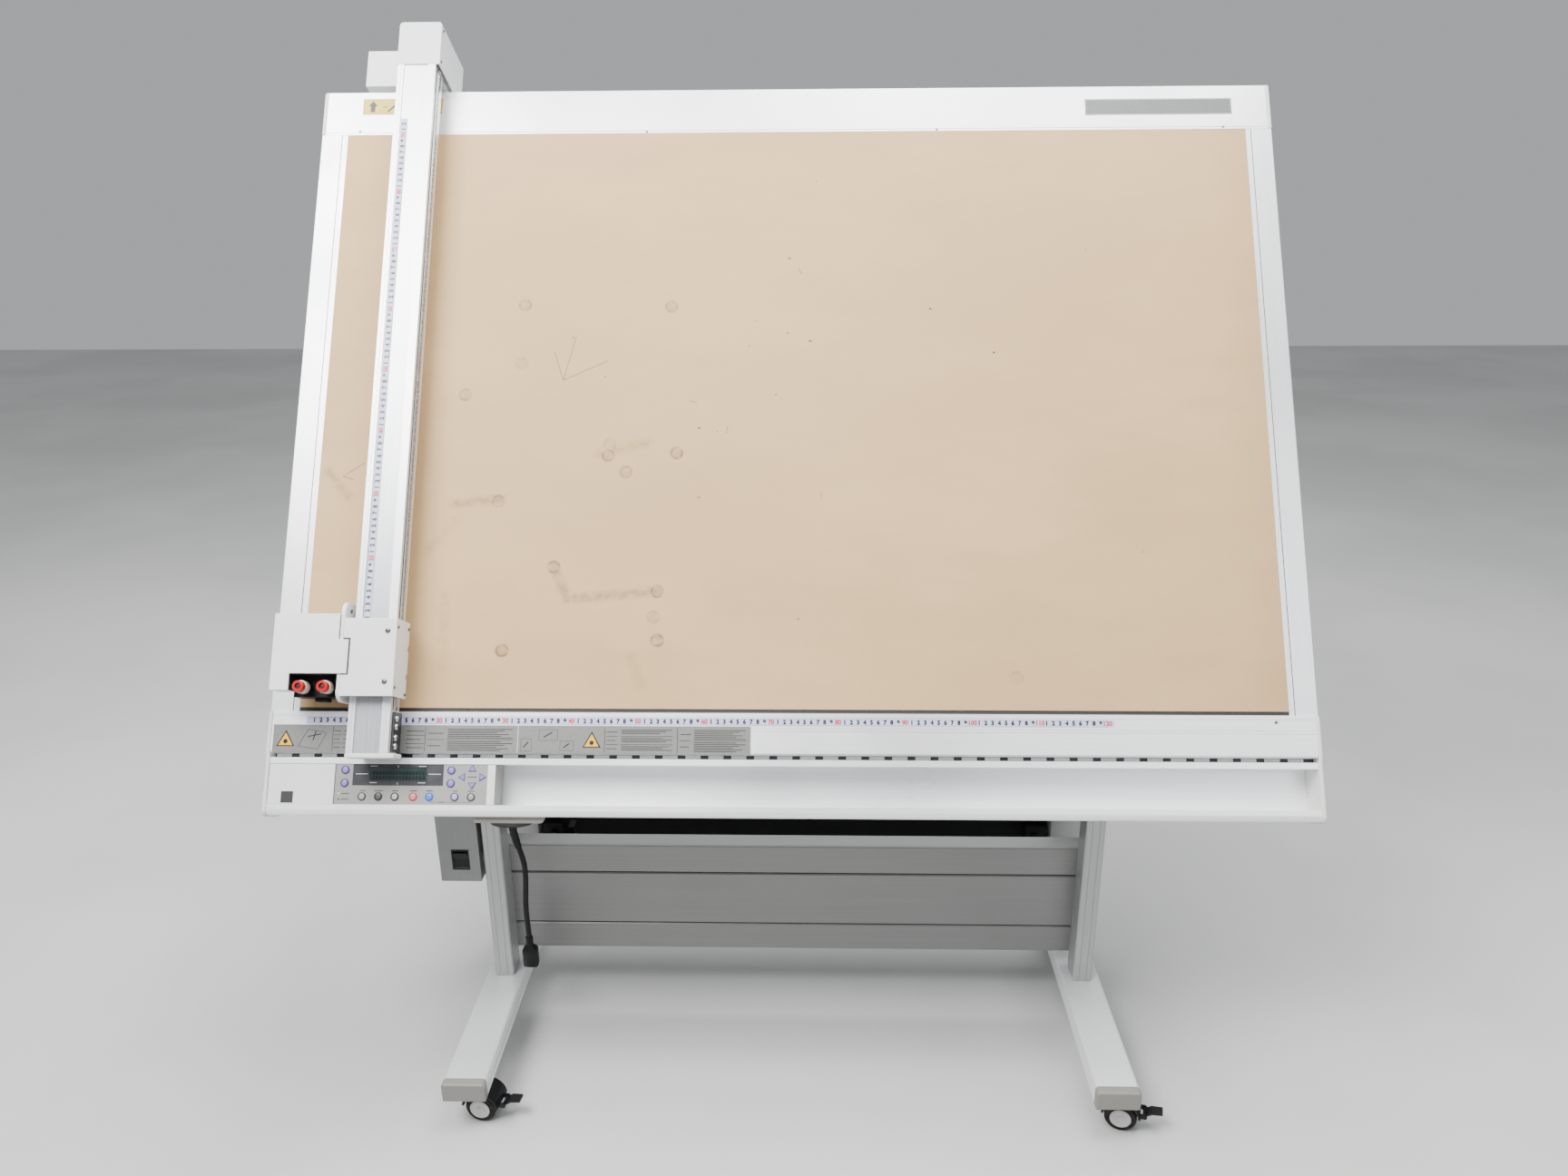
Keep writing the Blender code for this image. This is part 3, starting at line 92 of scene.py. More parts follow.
def add_light():
    world = bpy.data.worlds.new("studio")
    world.use_nodes = True
    background = world.node_tree.nodes["Background"]
    background.inputs["Color"].default_value = (0.90, 0.93, 0.96, 1.0)
    background.inputs["Strength"].default_value = 0.47
    bpy.context.scene.world = world
    add_area("key_light", (-1.5, -1.6, 3.5), (0, 0.1, 0.8), (2.0, 1.4), 250)
    add_area("top_light", (0.5, 0.2, 3.8), (0, 0.1, 0.6), (3.0, 1.8), 210)
    add_area("fill_light", (1.9, -2.4, 2.4), (0, 0.0, 0.7), (1.8, 1.4), 22, (0.95, 0.97, 1.0))


def add_floor():
    mesh = bpy.data.meshes.new("floor")
    reach = 9.0
    mesh.from_pydata([(-reach, -reach, 0), (reach, -reach, 0), (reach, reach, 0), (-reach, reach, 0)],
                     [], [(0, 1, 2, 3)])
    floor = bpy.data.objects.new("floor", mesh)
    bpy.context.scene.collection.objects.link(floor)
    finish = Finish("floor_paint", (0.50, 0.50, 0.49), 0.55)
    finish.tint(finish.noise(0.9, detail=4), (0.47, 0.475, 0.465), (0.54, 0.54, 0.53), 0.35, 0.65)
    mesh.materials.append(finish.material)


# ---------------------------------------------------------------------------
# Materials
# ---------------------------------------------------------------------------
class Finish:
    """A procedural material whose pattern follows the object's own coordinates.

    A CAD node has world coordinates, so on_bed turns them into bed coordinates.
    """

    def __init__(self, name, colour, roughness, metallic=0.0, on_bed=False):
        self.material = bpy.data.materials.new(name)
        self.material.use_nodes = True
        self.tree = self.material.node_tree
        self.shader = self.tree.nodes["Principled BSDF"]
        self.shader.inputs["Base Color"].default_value = (*colour, 1.0)
        self.shader.inputs["Roughness"].default_value = roughness
        self.shader.inputs["Metallic"].default_value = metallic
        self.colour = None
        self.height = None
        self.place = self.tree.nodes.new("ShaderNodeTexCoord").outputs["Object"]
        if on_bed:
            self.place = self.mapping(self.place, BED_ORIGIN, (TILT, 0, 0), (1, 1, 1), "TEXTURE")

    def mapping(self, source, location=(0, 0, 0), rotation=(0, 0, 0), scale=(1, 1, 1), kind="POINT"):
        node = self.tree.nodes.new("ShaderNodeMapping")
        node.vector_type = kind
        node.inputs["Location"].default_value = location
        node.inputs["Rotation"].default_value = rotation
        node.inputs["Scale"].default_value = scale
        self.tree.links.new(source, node.inputs["Vector"])
        return node.outputs["Vector"]

    def noise(self, scale, stretch=(1, 1, 1), detail=3.0, roughness=0.5, distortion=0.0):
        node = self.tree.nodes.new("ShaderNodeTexNoise")
        node.inputs["Scale"].default_value = scale
        node.inputs["Detail"].default_value = detail
        node.inputs["Roughness"].default_value = roughness
        node.inputs["Distortion"].default_value = distortion
        self.tree.links.new(self.mapping(self.place, scale=stretch), node.inputs["Vector"])
        return node.outputs["Fac"]

    def math(self, operation, *values):
        node = self.tree.nodes.new("ShaderNodeMath")
        node.operation = operation
        for socket, value in zip(node.inputs, values):
            if isinstance(value, (int, float)):
                socket.default_value = value
            else:
                self.tree.links.new(value, socket)
        return node.outputs[0]

    def vector(self, operation, *values, output="Vector"):
        node = self.tree.nodes.new("ShaderNodeVectorMath")
        node.operation = operation
        for index, value in enumerate(values):
            socket = node.inputs[index] if operation != "SCALE" or index == 0 else node.inputs["Scale"]
            if isinstance(value, (int, float, tuple, Vector)):
                socket.default_value = value
            else:
                self.tree.links.new(value, socket)
        return node.outputs[output]

    def ranged(self, value, low, high, start=0.0, end=1.0, smooth=True):
        node = self.tree.nodes.new("ShaderNodeMapRange")
        node.interpolation_type = "SMOOTHSTEP" if smooth else "LINEAR"
        self.tree.links.new(value, node.inputs["Value"])
        for name, number in zip(("From Min", "From Max", "To Min", "To Max"), (low, high, start, end)):
            node.inputs[name].default_value = number
        return node.outputs["Result"]

    def mix(self, factor, first, second):
        node = self.tree.nodes.new("ShaderNodeMix")
        node.data_type = "RGBA"
        self.tree.links.new(factor, node.inputs["Factor"])
        for socket, value in ((node.inputs[6], first), (node.inputs[7], second)):
            if isinstance(value, tuple):
                socket.default_value = (*value, 1.0)
            else:
                self.tree.links.new(value, socket)
        return node.outputs[2]

    def set_colour(self, output):
        self.colour = output
        self.tree.links.new(output, self.shader.inputs["Base Color"])
        return self

    def tint(self, value, first, second, low=0.3, high=0.7):
        """Colour that drifts between two tones with a pattern."""
        return self.set_colour(self.mix(self.ranged(value, low, high), first, second))

    def over(self, mask, colour):
        """Another colour where the mask is one."""
        return self.set_colour(self.mix(mask, self.colour, colour))

    def rough(self, value, low, high, first=0.3, last=0.7):
        self.tree.links.new(self.ranged(value, first, last, low, high), self.shader.inputs["Roughness"])
        return self

    def bump(self, value, distance, strength=1.0):
        node = self.tree.nodes.new("ShaderNodeBump")
        node.inputs["Strength"].default_value = strength
        node.inputs["Distance"].default_value = distance
        self.tree.links.new(value, node.inputs["Height"])
        if self.height is not None:
            self.tree.links.new(self.height, node.inputs["Normal"])
        self.height = node.outputs["Normal"]
        self.tree.links.new(self.height, self.shader.inputs["Normal"])
        return self

    def segment_distance(self, start, end):
        """Distance from the shaded point to a line from start to end, both (u, v)."""
        a, b = Vector((*start, 0.0)), Vector((*end, 0.0))
        offset = self.vector("SUBTRACT", self.place, a)
        if (b - a).length < 1e-6:
            return self.vector("LENGTH", offset, output="Value")
        along = (b - a).normalized()
        reach = self.vector("DOT_PRODUCT", offset, along, output="Value")
        held = self.math("MINIMUM", self.math("MAXIMUM", reach, 0.0), (b - a).length)
        node = self.tree.nodes.new("ShaderNodeVectorMath")
        node.operation = "SCALE"
        node.inputs[0].default_value = along
        self.tree.links.new(held, node.inputs["Scale"])
        return self.vector("LENGTH", self.vector("SUBTRACT", offset, node.outputs["Vector"]), output="Value")

    def axis(self, name):
        node = self.tree.nodes.new("ShaderNodeSeparateXYZ")
        self.tree.links.new(self.place, node.inputs[0])
        return node.outputs[name]


LONG = {"X": (1.2, 300, 300), "Y": (300, 1.2, 300), "Z": (300, 300, 1.2)}


def aluminium(name, along, on_bed=True, tone=(0.79, 0.80, 0.81), shine=0.34, cap=None):
    """Anodised extrusion: fine drawing lines along it, a faint stain and handling marks; when cap is given, a
    painted highlight above that height.
    """
    finish = Finish(name, tone, shine, 0.45, on_bed)
    lines = finish.noise(2.4, LONG[along], detail=2)
    stain = finish.noise(2.6, detail=5, roughness=0.6)
    darker = tuple(c * 0.93 for c in tone)
    finish.tint(finish.math("ADD", finish.math("MULTIPLY", lines, 0.6), finish.math("MULTIPLY", stain, 0.4)),
                darker, tone, 0.38, 0.60)
    # Above height cap the tone is 2.4 times paler: a painted highlight on the top face lit from above.
    if cap:
        finish.over(finish.ranged(finish.axis("Z"), cap, cap + 0.0015), tuple(c * 2.4 for c in tone))
    finish.rough(stain, shine - 0.05, shine + 0.10)
    finish.bump(lines, 0.00004, 0.35)
    return finish.material


def paint(name, tone, on_bed=True, roughness=0.45, grain=900, depth=0.00010):
    """Powder coat or moulded plastic: a fine orange-peel skin with slight unevenness."""
    finish = Finish(name, tone, roughness, 0.0, on_bed)
    cloud = finish.noise(7, detail=4, roughness=0.6)
    finish.tint(cloud, tuple(c * 0.95 for c in tone), tuple(min(1.0, c * 1.02) for c in tone))
    finish.shader.inputs["Specular IOR Level"].default_value = 0.5 if max(tone) > 0.1 else 0.22
    finish.rough(finish.noise(40, detail=3), roughness - 0.05, roughness + 0.08)
    finish.bump(finish.noise(grain, detail=2), depth, 0.35)
    return finish.material


def steel(name, tone, roughness=0.28, on_bed=False, metallic=1.0):
    finish = Finish(name, tone, roughness, metallic, on_bed)
    finish.tint(finish.noise(60, detail=4), tuple(c * 0.86 for c in tone), tone)
    finish.rough(finish.noise(220, detail=2), roughness - 0.06, roughness + 0.12)
    return finish.material


def rubber(name):
    finish = Finish(name, (0.018, 0.018, 0.019), 0.6)
    finish.tint(finish.noise(90, detail=4), (0.005, 0.005, 0.005), (0.020, 0.019, 0.018), 0.4, 0.75)
    finish.shader.inputs["Specular IOR Level"].default_value = 0.25
    finish.rough(finish.noise(160, detail=3), 0.48, 0.74)
    finish.bump(finish.noise(1500), 0.00012, 0.4)
    return finish.material


def printed(name, tone, roughness=0.42):
    """Ink or film of a label, with the slight mottling of print."""
    finish = Finish(name, tone, roughness)
    darker = tuple(c * 0.92 for c in tone)
    paler = tuple(min(1.0, c * 1.03) for c in tone)
    finish.tint(finish.noise(260, detail=2), darker, paler)
    finish.rough(finish.noise(90), roughness - 0.05, roughness + 0.06)
    return finish.material


RINGS = ((0.297, 0.630, 0.9), (0.534, 0.626, 0.8), (0.208, 0.478, 0.8), (0.296, 0.531, 0.4),
         (0.548, 0.381, 1.0), (0.270, 0.303, 0.9), (0.362, 0.198, 0.9), (0.523, 0.160, 1.0),
         (0.518, 0.120, 0.5), (0.525, 0.084, 1.0), (0.288, 0.068, 1.0), (0.440, 0.377, 0.9),
         (0.469, 0.350, 0.8), (0.442, 0.395, 0.5), (1.068, 0.029, 0.35))
SMUDGES = (((0.200, 0.299), (0.276, 0.306), 0.9), ((0.365, 0.193), (0.385, 0.148), 0.9),
           ((0.385, 0.148), (0.520, 0.160), 1.0), ((0.425, 0.380), (0.504, 0.398), 0.7),
           ((-0.002, 0.351), (0.035, 0.309), 0.7), ((0.163, 0.219), (0.202, 0.270), 0.35),
           ((0.195, 0.155), (0.199, 0.042), 0.35), ((0.486, 0.057), (0.501, 0.016), 0.45))


def mat_material():
    """Tan cutting mat: faint fibres, broad stains, cup rings and rubbed smudges."""
    finish = Finish("mat_tan_worn", (0.60, 0.44, 0.30), 0.72, 0.0, True)
    fibres = finish.noise(3.0, (90, 260, 90), detail=4)
    cloud = finish.noise(2.2, (1.0, 2.4, 1.0), detail=6, roughness=0.62)
    finish.tint(cloud, (0.490, 0.318, 0.152), (0.555, 0.365, 0.182), 0.34, 0.66)
    speck = finish.ranged(finish.noise(900, detail=1), 0.62, 0.80)
    finish.over(finish.math("MULTIPLY", speck, 0.35), (0.36, 0.23, 0.12))
    broken = finish.ranged(finish.noise(70, detail=4, roughness=0.65), 0.36, 0.60)
    worn = None
    for u, v, strength in RINGS:
        away = finish.segment_distance((u, v), (u, v))
        ring = finish.math("SUBTRACT", finish.ranged(away, 0.0118, 0.0090),
                           finish.ranged(away, 0.0088, 0.0040))
        disc = finish.math("MULTIPLY", finish.ranged(away, 0.0125, 0.0050), 0.45)
        mark = finish.math("MULTIPLY", finish.math("MAXIMUM", ring, disc), strength)
        worn = mark if worn is None else finish.math("MAXIMUM", worn, mark)
    for start, end, strength in SMUDGES:
        away = finish.segment_distance(start, end)
        mark = finish.math("MULTIPLY", finish.ranged(away, 0.0130, 0.0010), 0.55 * strength)
        worn = finish.math("MAXIMUM", worn, mark)
    spread = finish.math("MULTIPLY", worn, finish.math("ADD", finish.math("MULTIPLY", broken, 0.7), 0.3))
    finish.over(finish.math("MULTIPLY", spread, 0.95), (0.170, 0.100, 0.045))
    edge = finish.ranged(finish.axis("X"), 1.3900, 1.4700)
    finish.over(finish.math("MULTIPLY", edge, 0.35), (0.38, 0.24, 0.125))
    finish.rough(cloud, 0.62, 0.78)
    finish.bump(fibres, 0.00010, 0.25)
    return finish.material


# ---------------------------------------------------------------------------
# Mesh helpers
# ---------------------------------------------------------------------------
def add_piece(name, mesh, finish, body, place=WORLD, smooth=False, edge=0.0):
    """A named piece with its material that rides on a CAD body."""
    mesh.name = name
    mesh.materials.clear()
    mesh.materials.append(finish)
    if smooth:
        mesh.shade_smooth()
        mesh.set_sharp_from_angle(angle=math.radians(38))
    thing = bpy.data.objects.new(name, mesh)
    bpy.context.scene.collection.objects.link(thing)
    thing.matrix_world = place
    if edge:
        bevel = thing.modifiers.new("edges", "BEVEL")
        bevel.width = edge
        bevel.segments = 2
        bevel.limit_method = "ANGLE"
        bevel.angle_limit = math.radians(40)
    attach(thing, body)
    return thing


def to_mesh(bm):
    bmesh.ops.recalc_face_normals(bm, faces=bm.faces)
    mesh = bpy.data.meshes.new("made")
    bm.to_mesh(mesh)
    bm.free()
    return mesh


def add_box(bm, x, y, z):
    made = bmesh.ops.create_cube(bm, size=1.0)
    for vert in made["verts"]:
        vert.co = (x[0] + (x[1] - x[0]) * (vert.co.x + 0.5), y[0] + (y[1] - y[0]) * (vert.co.y + 0.5),
                   z[0] + (z[1] - z[0]) * (vert.co.z + 0.5))


def add_prism(bm, outline, low, high):
    """Closed prism over an (x, y) outline."""
    bottom = [bm.verts.new((x, y, low)) for x, y in outline]
    top = [bm.verts.new((x, y, high)) for x, y in outline]
    bm.faces.new(bottom[::-1])
    bm.faces.new(top)
    count = len(outline)
    for i in range(count):
        j = (i + 1) % count
        bm.faces.new((bottom[i], bottom[j], top[j], top[i]))


def stroke(bm, start, end, width, low, high):
    """A flat bar between two (x, y) points."""
    a, b = Vector(start), Vector(end)
    along = (b - a).normalized() if (b - a).length > 1e-9 else Vector((1, 0))
    side = Vector((-along.y, along.x)) * width / 2
    add_prism(bm, [a - side, b - side, b + side, a + side], low, high)


def turned(profile, segments=32):
    """Spin (radius, height) points about Z; the ends lie on the axis."""
    bm = bmesh.new()
    points = [bm.verts.new((radius, 0.0, height)) for radius, height in profile]
    edges = [bm.edges.new(pair) for pair in zip(points, points[1:])]
    bmesh.ops.spin(bm, geom=points + edges, cent=(0, 0, 0), axis=(0, 0, 1), angle=2 * math.pi,
                   steps=segments, use_duplicate=False)
    bmesh.ops.remove_doubles(bm, verts=bm.verts, dist=1e-7)
    return to_mesh(bm)


def cut_from(mesh, tool):
    body = bpy.data.objects.new("body", mesh)
    helper = bpy.data.objects.new("helper", tool)
    for thing in (body, helper):
        bpy.context.scene.collection.objects.link(thing)
    step = body.modifiers.new("cut", "BOOLEAN")
    step.operation = "DIFFERENCE"
    step.solver = "EXACT"
    step.object = helper
    bpy.context.view_layer.update()
    result = bpy.data.meshes.new_from_object(body.evaluated_get(bpy.context.evaluated_depsgraph_get()))
    bpy.data.objects.remove(body, do_unlink=True)
    bpy.data.objects.remove(helper, do_unlink=True)
    return result


def arc(centre, radius, start, end, count):
    return [(centre[0] + radius * math.cos(math.radians(start + (end - start) * i / count)),
             centre[1] + radius * math.sin(math.radians(start + (end - start) * i / count)))
            for i in range(count + 1)]


def text_mesh(words, size, bold=0.0):
    """Flat letters as thin closed solids, centred on the origin."""
    curve = bpy.data.curves.new("words", "FONT")
    curve.body = words
    curve.size = size
    curve.align_x = "CENTER"
    curve.align_y = "CENTER"
    curve.extrude = DECAL / 2
    curve.offset = bold
    curve.resolution_u = 3
    thing = bpy.data.objects.new("words", curve)
    bpy.context.scene.collection.objects.link(thing)
    bpy.context.view_layer.update()
    mesh = bpy.data.meshes.new_from_object(thing.evaluated_get(bpy.context.evaluated_depsgraph_get()))
    bpy.data.objects.remove(thing, do_unlink=True)
    return mesh


# ---------------------------------------------------------------------------
# Materials on the CAD nodes
# ---------------------------------------------------------------------------
def dress(finish, *names):
    for name in names:
        data = NODES[name].data
        data.materials.clear()
        data.materials.append(finish)


def round_edges(width, *names):
    """A fine machined radius on the CAD node's edges, inside its own shape."""
    for name in names:
        node = NODES[name]
        weld = node.modifiers.new("weld", "WELD")
        weld.merge_threshold = 0.00001
        bevel = node.modifiers.new("edges", "BEVEL")
        bevel.width = width
        bevel.segments = 2
        bevel.limit_method = "ANGLE"
        bevel.angle_limit = math.radians(40)
        normals = node.modifiers.new("normals", "WEIGHTED_NORMAL")
        normals.keep_sharp = False


def holder_material():
    """Red grip cap over a pale ring and a dark barrel, by height over the mat."""
    finish = Finish("holder_red_cap", (0.55, 0.02, 0.03), 0.3, 0.0, True)
    height = finish.axis("Z")
    finish.tint(finish.noise(300), (0.36, 0.002, 0.004), (0.46, 0.003, 0.006))
    finish.shader.inputs["Specular IOR Level"].default_value = 0.3
    finish.over(finish.ranged(height, 0.0702, 0.0700, smooth=False), (0.58, 0.51, 0.42))
    finish.over(finish.ranged(height, 0.0600, 0.0560), (0.012, 0.011, 0.011))
    finish.bump(finish.noise(900), 0.00005, 0.3)
    return finish.material


def beam_material():
    """Drawn aluminium whose sunk ruler band is painted greyer towards the operator: painted shade in the
    recess.
    """
    finish = Finish("beam_aluminium", (0.80, 0.81, 0.83), 0.34, 0.45, True)
    lines = finish.noise(2.4, LONG["Y"], detail=2)
    finish.tint(lines, (0.73, 0.74, 0.76), (0.80, 0.81, 0.83), 0.38, 0.60)
    across, height = finish.axis("X"), finish.axis("Z")
    # The sunk ruler band is painted grey, strongest towards the front end: painted shade in the recess.
    band = finish.math("MULTIPLY", finish.ranged(across, 0.0917, 0.0921),
                       finish.ranged(across, 0.1318, 0.1314))
    sunk = finish.math("MULTIPLY", finish.ranged(height, 0.0553, 0.0548),
                       finish.ranged(height, 0.0520, 0.0530))
    painted_shade_fade = finish.ranged(finish.axis("Y"), 0.75, -0.05, 0.10, 1.0)
    grey = finish.mix(finish.ranged(lines, 0.40, 0.58), (0.385, 0.395, 0.425), (0.455, 0.465, 0.495))
    mask = finish.math("MULTIPLY", finish.math("MULTIPLY", band, sunk), painted_shade_fade)
    finish.set_colour(finish.mix(mask, finish.colour, grey))
    finish.bump(lines, 0.00005, 0.4)
    return finish.material


def dress_cad():
    rail = aluminium("rail_aluminium", "X", tone=(0.90, 0.905, 0.92))
    trough = aluminium("trough_aluminium", "X", tone=(0.96, 0.965, 0.975), shine=0.30)
    upright = aluminium("side_rail_aluminium", "Y", tone=(0.82, 0.83, 0.845))
    foot = aluminium("foot_aluminium", "Y", on_bed=False, tone=(0.86, 0.87, 0.87))
    # cap=0.3310 paints a highlight on the upper stretcher's lit top face.
    sheet = aluminium("stretcher_aluminium", "X", on_bed=False, tone=(0.22, 0.222, 0.216), shine=0.42,
                      cap=0.3310)
    post = aluminium("post_aluminium", "Z", on_bed=False, tone=(0.40, 0.405, 0.405), shine=0.38)
    box = aluminium("switch_box_grey", "Z", on_bed=False, tone=(0.22, 0.225, 0.222), shine=0.42)
    cover = paint("cover_white", (0.70, 0.71, 0.70))
    cap = paint("cap_grey", (0.66, 0.655, 0.635), roughness=0.5, grain=1200)
    beige = paint("cap_beige", (0.215, 0.205, 0.185), on_bed=False, roughness=0.52, grain=1300)
    black = paint("moulded_black", (0.007, 0.007, 0.008), on_bed=False, roughness=0.42, grain=1400)
    dress(rail, "front_rail", "rear_rail", "platen")
    dress(trough, "tool_trough")
    dress(upright, "side_rail_left", "side_rail_right")
    dress(beam_material(), "beam")
    dress(foot, "foot_left", "foot_right")
    dress(sheet, "stretcher_lower", "stretcher_middle", "stretcher_upper")
    dress(post, "post_left", "post_right", "column_left", "column_right", "side_head_left",
          "side_head_right")
    dress(box, "switch_box")
    dress(steel("beam_foot_steel", (0.10, 0.10, 0.10), 0.34, True), "beam_front_foot")
    dress(cover, "carriage_side_plate", "carriage_cover_left", "carriage_cover_right", "beam_rear_head",
          "motor_box", "blank_plate")
    dress(cap, "front_cap_left", "front_cap_right", "rear_cap_left", "rear_cap_right", "beam_end_cap")
    dress(beige, "foot_cap_left_front", "foot_cap_left_rear", "foot_cap_right_front",
          "foot_cap_right_rear")
    dress(outlet_material(), "cable_outlet")
    dress(black, "tool_block", "lock_lever", "power_switch")
    dress(paint("panel_grey", (0.275, 0.27, 0.255), roughness=0.48, grain=1600, depth=0.00005),
          "control_panel")
    dress(glass_material(), "display_window")
    dress(steel("shaft_steel", (0.62, 0.62, 0.62)), "tilt_shaft")
    # Near-black: the tilt brackets are black, while the cross member's near-black is painted shade under the
    # bed.
    dress(paint("dark_frame_paint_and_shade", (0.010, 0.010, 0.011), on_bed=False, roughness=0.5), "cross_member",
          "tilt_bracket_left", "tilt_bracket_right")
    dress(mat_material(), "cutting_mat")
    dress(holder_material(), "tool_holder_left", "tool_holder_right")
    tread = rubber("tread_rubber")
    for place in CASTERS:
        dress(tread, f"caster_wheels_{place}")
        dress(black, f"caster_fork_{place}")
    dress(black, "caster_brake_front_left", "caster_brake_front_right")


OUTLET_BASE = 0.4320             # height below which the outlet is black


def outlet_material():
    """Beige housing with a black base and nozzle below it."""
    finish = Finish("outlet_beige", (0.42, 0.38, 0.34), 0.5)
    finish.tint(finish.noise(9, detail=4), (0.38, 0.345, 0.31), (0.44, 0.40, 0.36))
    below = finish.ranged(finish.axis("Z"), OUTLET_BASE, OUTLET_BASE - 0.0002, smooth=False)
    finish.over(below, (0.006, 0.006, 0.006))
    finish.bump(finish.noise(1300, detail=2), 0.0001, 0.3)
    return finish.material


def glass_material():
    finish = Finish("display_dark", (0.020, 0.034, 0.034), 0.10)
    finish.tint(finish.noise(30, detail=3), (0.012, 0.024, 0.024), (0.030, 0.048, 0.046))
    finish.shader.inputs["Coat Weight"].default_value = 0.6
    finish.shader.inputs["Coat Roughness"].default_value = 0.05
    return finish.material


CASTERS = {"front_left": 82, "front_right": 74, "rear_left": -12, "rear_right": 16}


# ---------------------------------------------------------------------------
# Rulers
# ---------------------------------------------------------------------------
def copy_into(bm, mesh, place):
    before = len(bm.verts)
    bm.from_mesh(mesh)
    bm.verts.ensure_lookup_table()
    for vert in bm.verts[before:]:
        vert.co = place @ vert.co


def add_ruler(name, body, start, reach, first, last, place):
    """Printed scale on a white film: millimetre ticks on both edges and centimetre numbers.

    Its own x runs along the scale and y across it; place puts it on its rail.
    """
    width = 0.0108
    film = bmesh.new()
    add_prism(film, [(start, 0), (reach, 0), (reach, width), (start, width)], LIFT, LIFT + DECAL)
    add_piece(f"{name}_film", to_mesh(film), printed(f"{name}_white", (0.54, 0.55, 0.74)), body, place)
    low, high = LIFT + DECAL, LIFT + DECAL * 1.6
    lines = bmesh.new()
    for step in range(first, last + 1):
        x = step * 0.001
        length = 0.0026 if step % 10 == 0 else 0.0020 if step % 5 == 0 else 0.0014
        for y in ((0.0, length), (width - length, width)):
            add_box(lines, (x - 0.00012, x + 0.00012), y, (low, high))
    add_piece(f"{name}_ticks", to_mesh(lines), printed(f"{name}_tick_ink", (0.05, 0.05, 0.12)), body, place)
    digits = {word: text_mesh(word, 0.0086, 0.00050) for word in "123456789"}
    black, red = bmesh.new(), bmesh.new()
    for step in range(first - first % 10 + 10, last + 1, 10):
        spot = Matrix.Translation((step * 0.001, width / 2, low + DECAL / 2))
        tens = step // 10 % 10
        if tens:
            copy_into(black, digits[str(tens)], spot)
        else:
            copy_into(red, text_mesh(str(step // 10), 0.0092, 0.00040), spot)
    add_piece(f"{name}_digits", to_mesh(black), printed(f"{name}_black_ink", (0.004, 0.004, 0.010)),
              body, place)
    add_piece(f"{name}_hundreds", to_mesh(red), printed(f"{name}_red_ink", (0.58, 0.015, 0.04)),
              body, place)


def add_rulers():
    add_ruler("front_ruler", "bed", -0.0015, 1.2100, 0, 1200,
              BED @ Matrix.Translation((0, -0.0447, RAIL_TOP)))
    upward = Matrix.Translation((0.104, 0, BEAM_RECESS)) @ Matrix.Rotation(math.pi / 2, 4, "Z")
    add_ruler("beam_ruler", "beam", -0.0015, 0.9290, 0, 920, BED @ upward)


# ---------------------------------------------------------------------------
# Cord
# ---------------------------------------------------------------------------
CORD_ROUTE = ((0.0, 0.0), (0.0012, 0.014), (0.0048, 0.032), (0.0092, 0.050), (0.0128, 0.068),
              (0.0140, 0.086), (0.0134, 0.105), (0.0118, 0.125), (0.0102, 0.145), (0.0094, 0.165),
              (0.0096, 0.185), (0.0102, 0.203), (0.0104, 0.2155))
CORD_EXIT = Vector((-0.4615, -0.1730, 0.4117))
CORD_DIAMETER = 0.009


def smooth_route(points, steps):
    """Catmull-Rom points through the route."""
    ends = [points[0] + (points[0] - points[1])] + points + [points[-1] + (points[-1] - points[-2])]
    route = []
    for a, b, c, d in zip(ends, ends[1:], ends[2:], ends[3:]):
        for i in range(steps):
            t = i / steps
            route.append(0.5 * (2 * b + (c - a) * t + (2 * a - 5 * b + 4 * c - d) * t * t
                                + (3 * b - a - 3 * c + d) * t ** 3))
    return route + [points[-1]]


def add_cord():
    points = smooth_route([CORD_EXIT + Vector((across, 0, -down)) for across, down in CORD_ROUTE], 3)
    curve = bpy.data.curves.new("power_lead", "CURVE")
    curve.dimensions = "3D"
    curve.bevel_depth = CORD_DIAMETER / 2
    curve.bevel_resolution = 6
    curve.use_fill_caps = True
    line = curve.splines.new("POLY")
    line.points.add(len(points) - 1)
    for spot, place in zip(line.points, points):
        spot.co = (*place, 1.0)
    curve.materials.append(paint("lead_black", (0.005, 0.005, 0.005), on_bed=False, roughness=0.5,
                                 grain=1800))
    lead = bpy.data.objects.new("power_lead", curve)
    bpy.context.scene.collection.objects.link(lead)
    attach(lead, "stand")
    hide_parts("cord")
    connector = add_connector(points[-1])
    relief = add_strain_relief(points)
    return lead


def add_strain_relief(points):
    """Tapered sleeve round the lead where it leaves the outlet."""
    bm = bmesh.new()
    rings = []
    count, radii = 20, (0.0064, 0.0066, 0.0061, 0.0064, 0.0060, 0.0062, 0.0058, 0.0056)
    for index, radius in enumerate(radii):
        centre = points[index] + Vector((0, 0, -0.0004))
        heading = (points[index + 1] - points[max(index - 1, 0)]).normalized()
        side = heading.cross(Vector((0, 1, 0))).normalized()
        ring = []
        for i in range(count):
            angle = 2 * math.pi * i / count
            ring.append(bm.verts.new(centre + side * (radius * math.cos(angle))
                                     + heading.cross(side) * (radius * math.sin(angle))))
        rings.append(ring)
    for upper, lower in zip(rings, rings[1:]):
        for i in range(count):
            bm.faces.new((upper[i], upper[(i + 1) % count], lower[(i + 1) % count], lower[i]))
    bm.faces.new(rings[0])
    bm.faces.new(rings[-1][::-1])
    finish = paint("relief_black", (0.006, 0.006, 0.006), on_bed=False, roughness=0.5, grain=1500)
    return add_piece("lead_strain_relief", to_mesh(bm), finish, "stand", smooth=True)


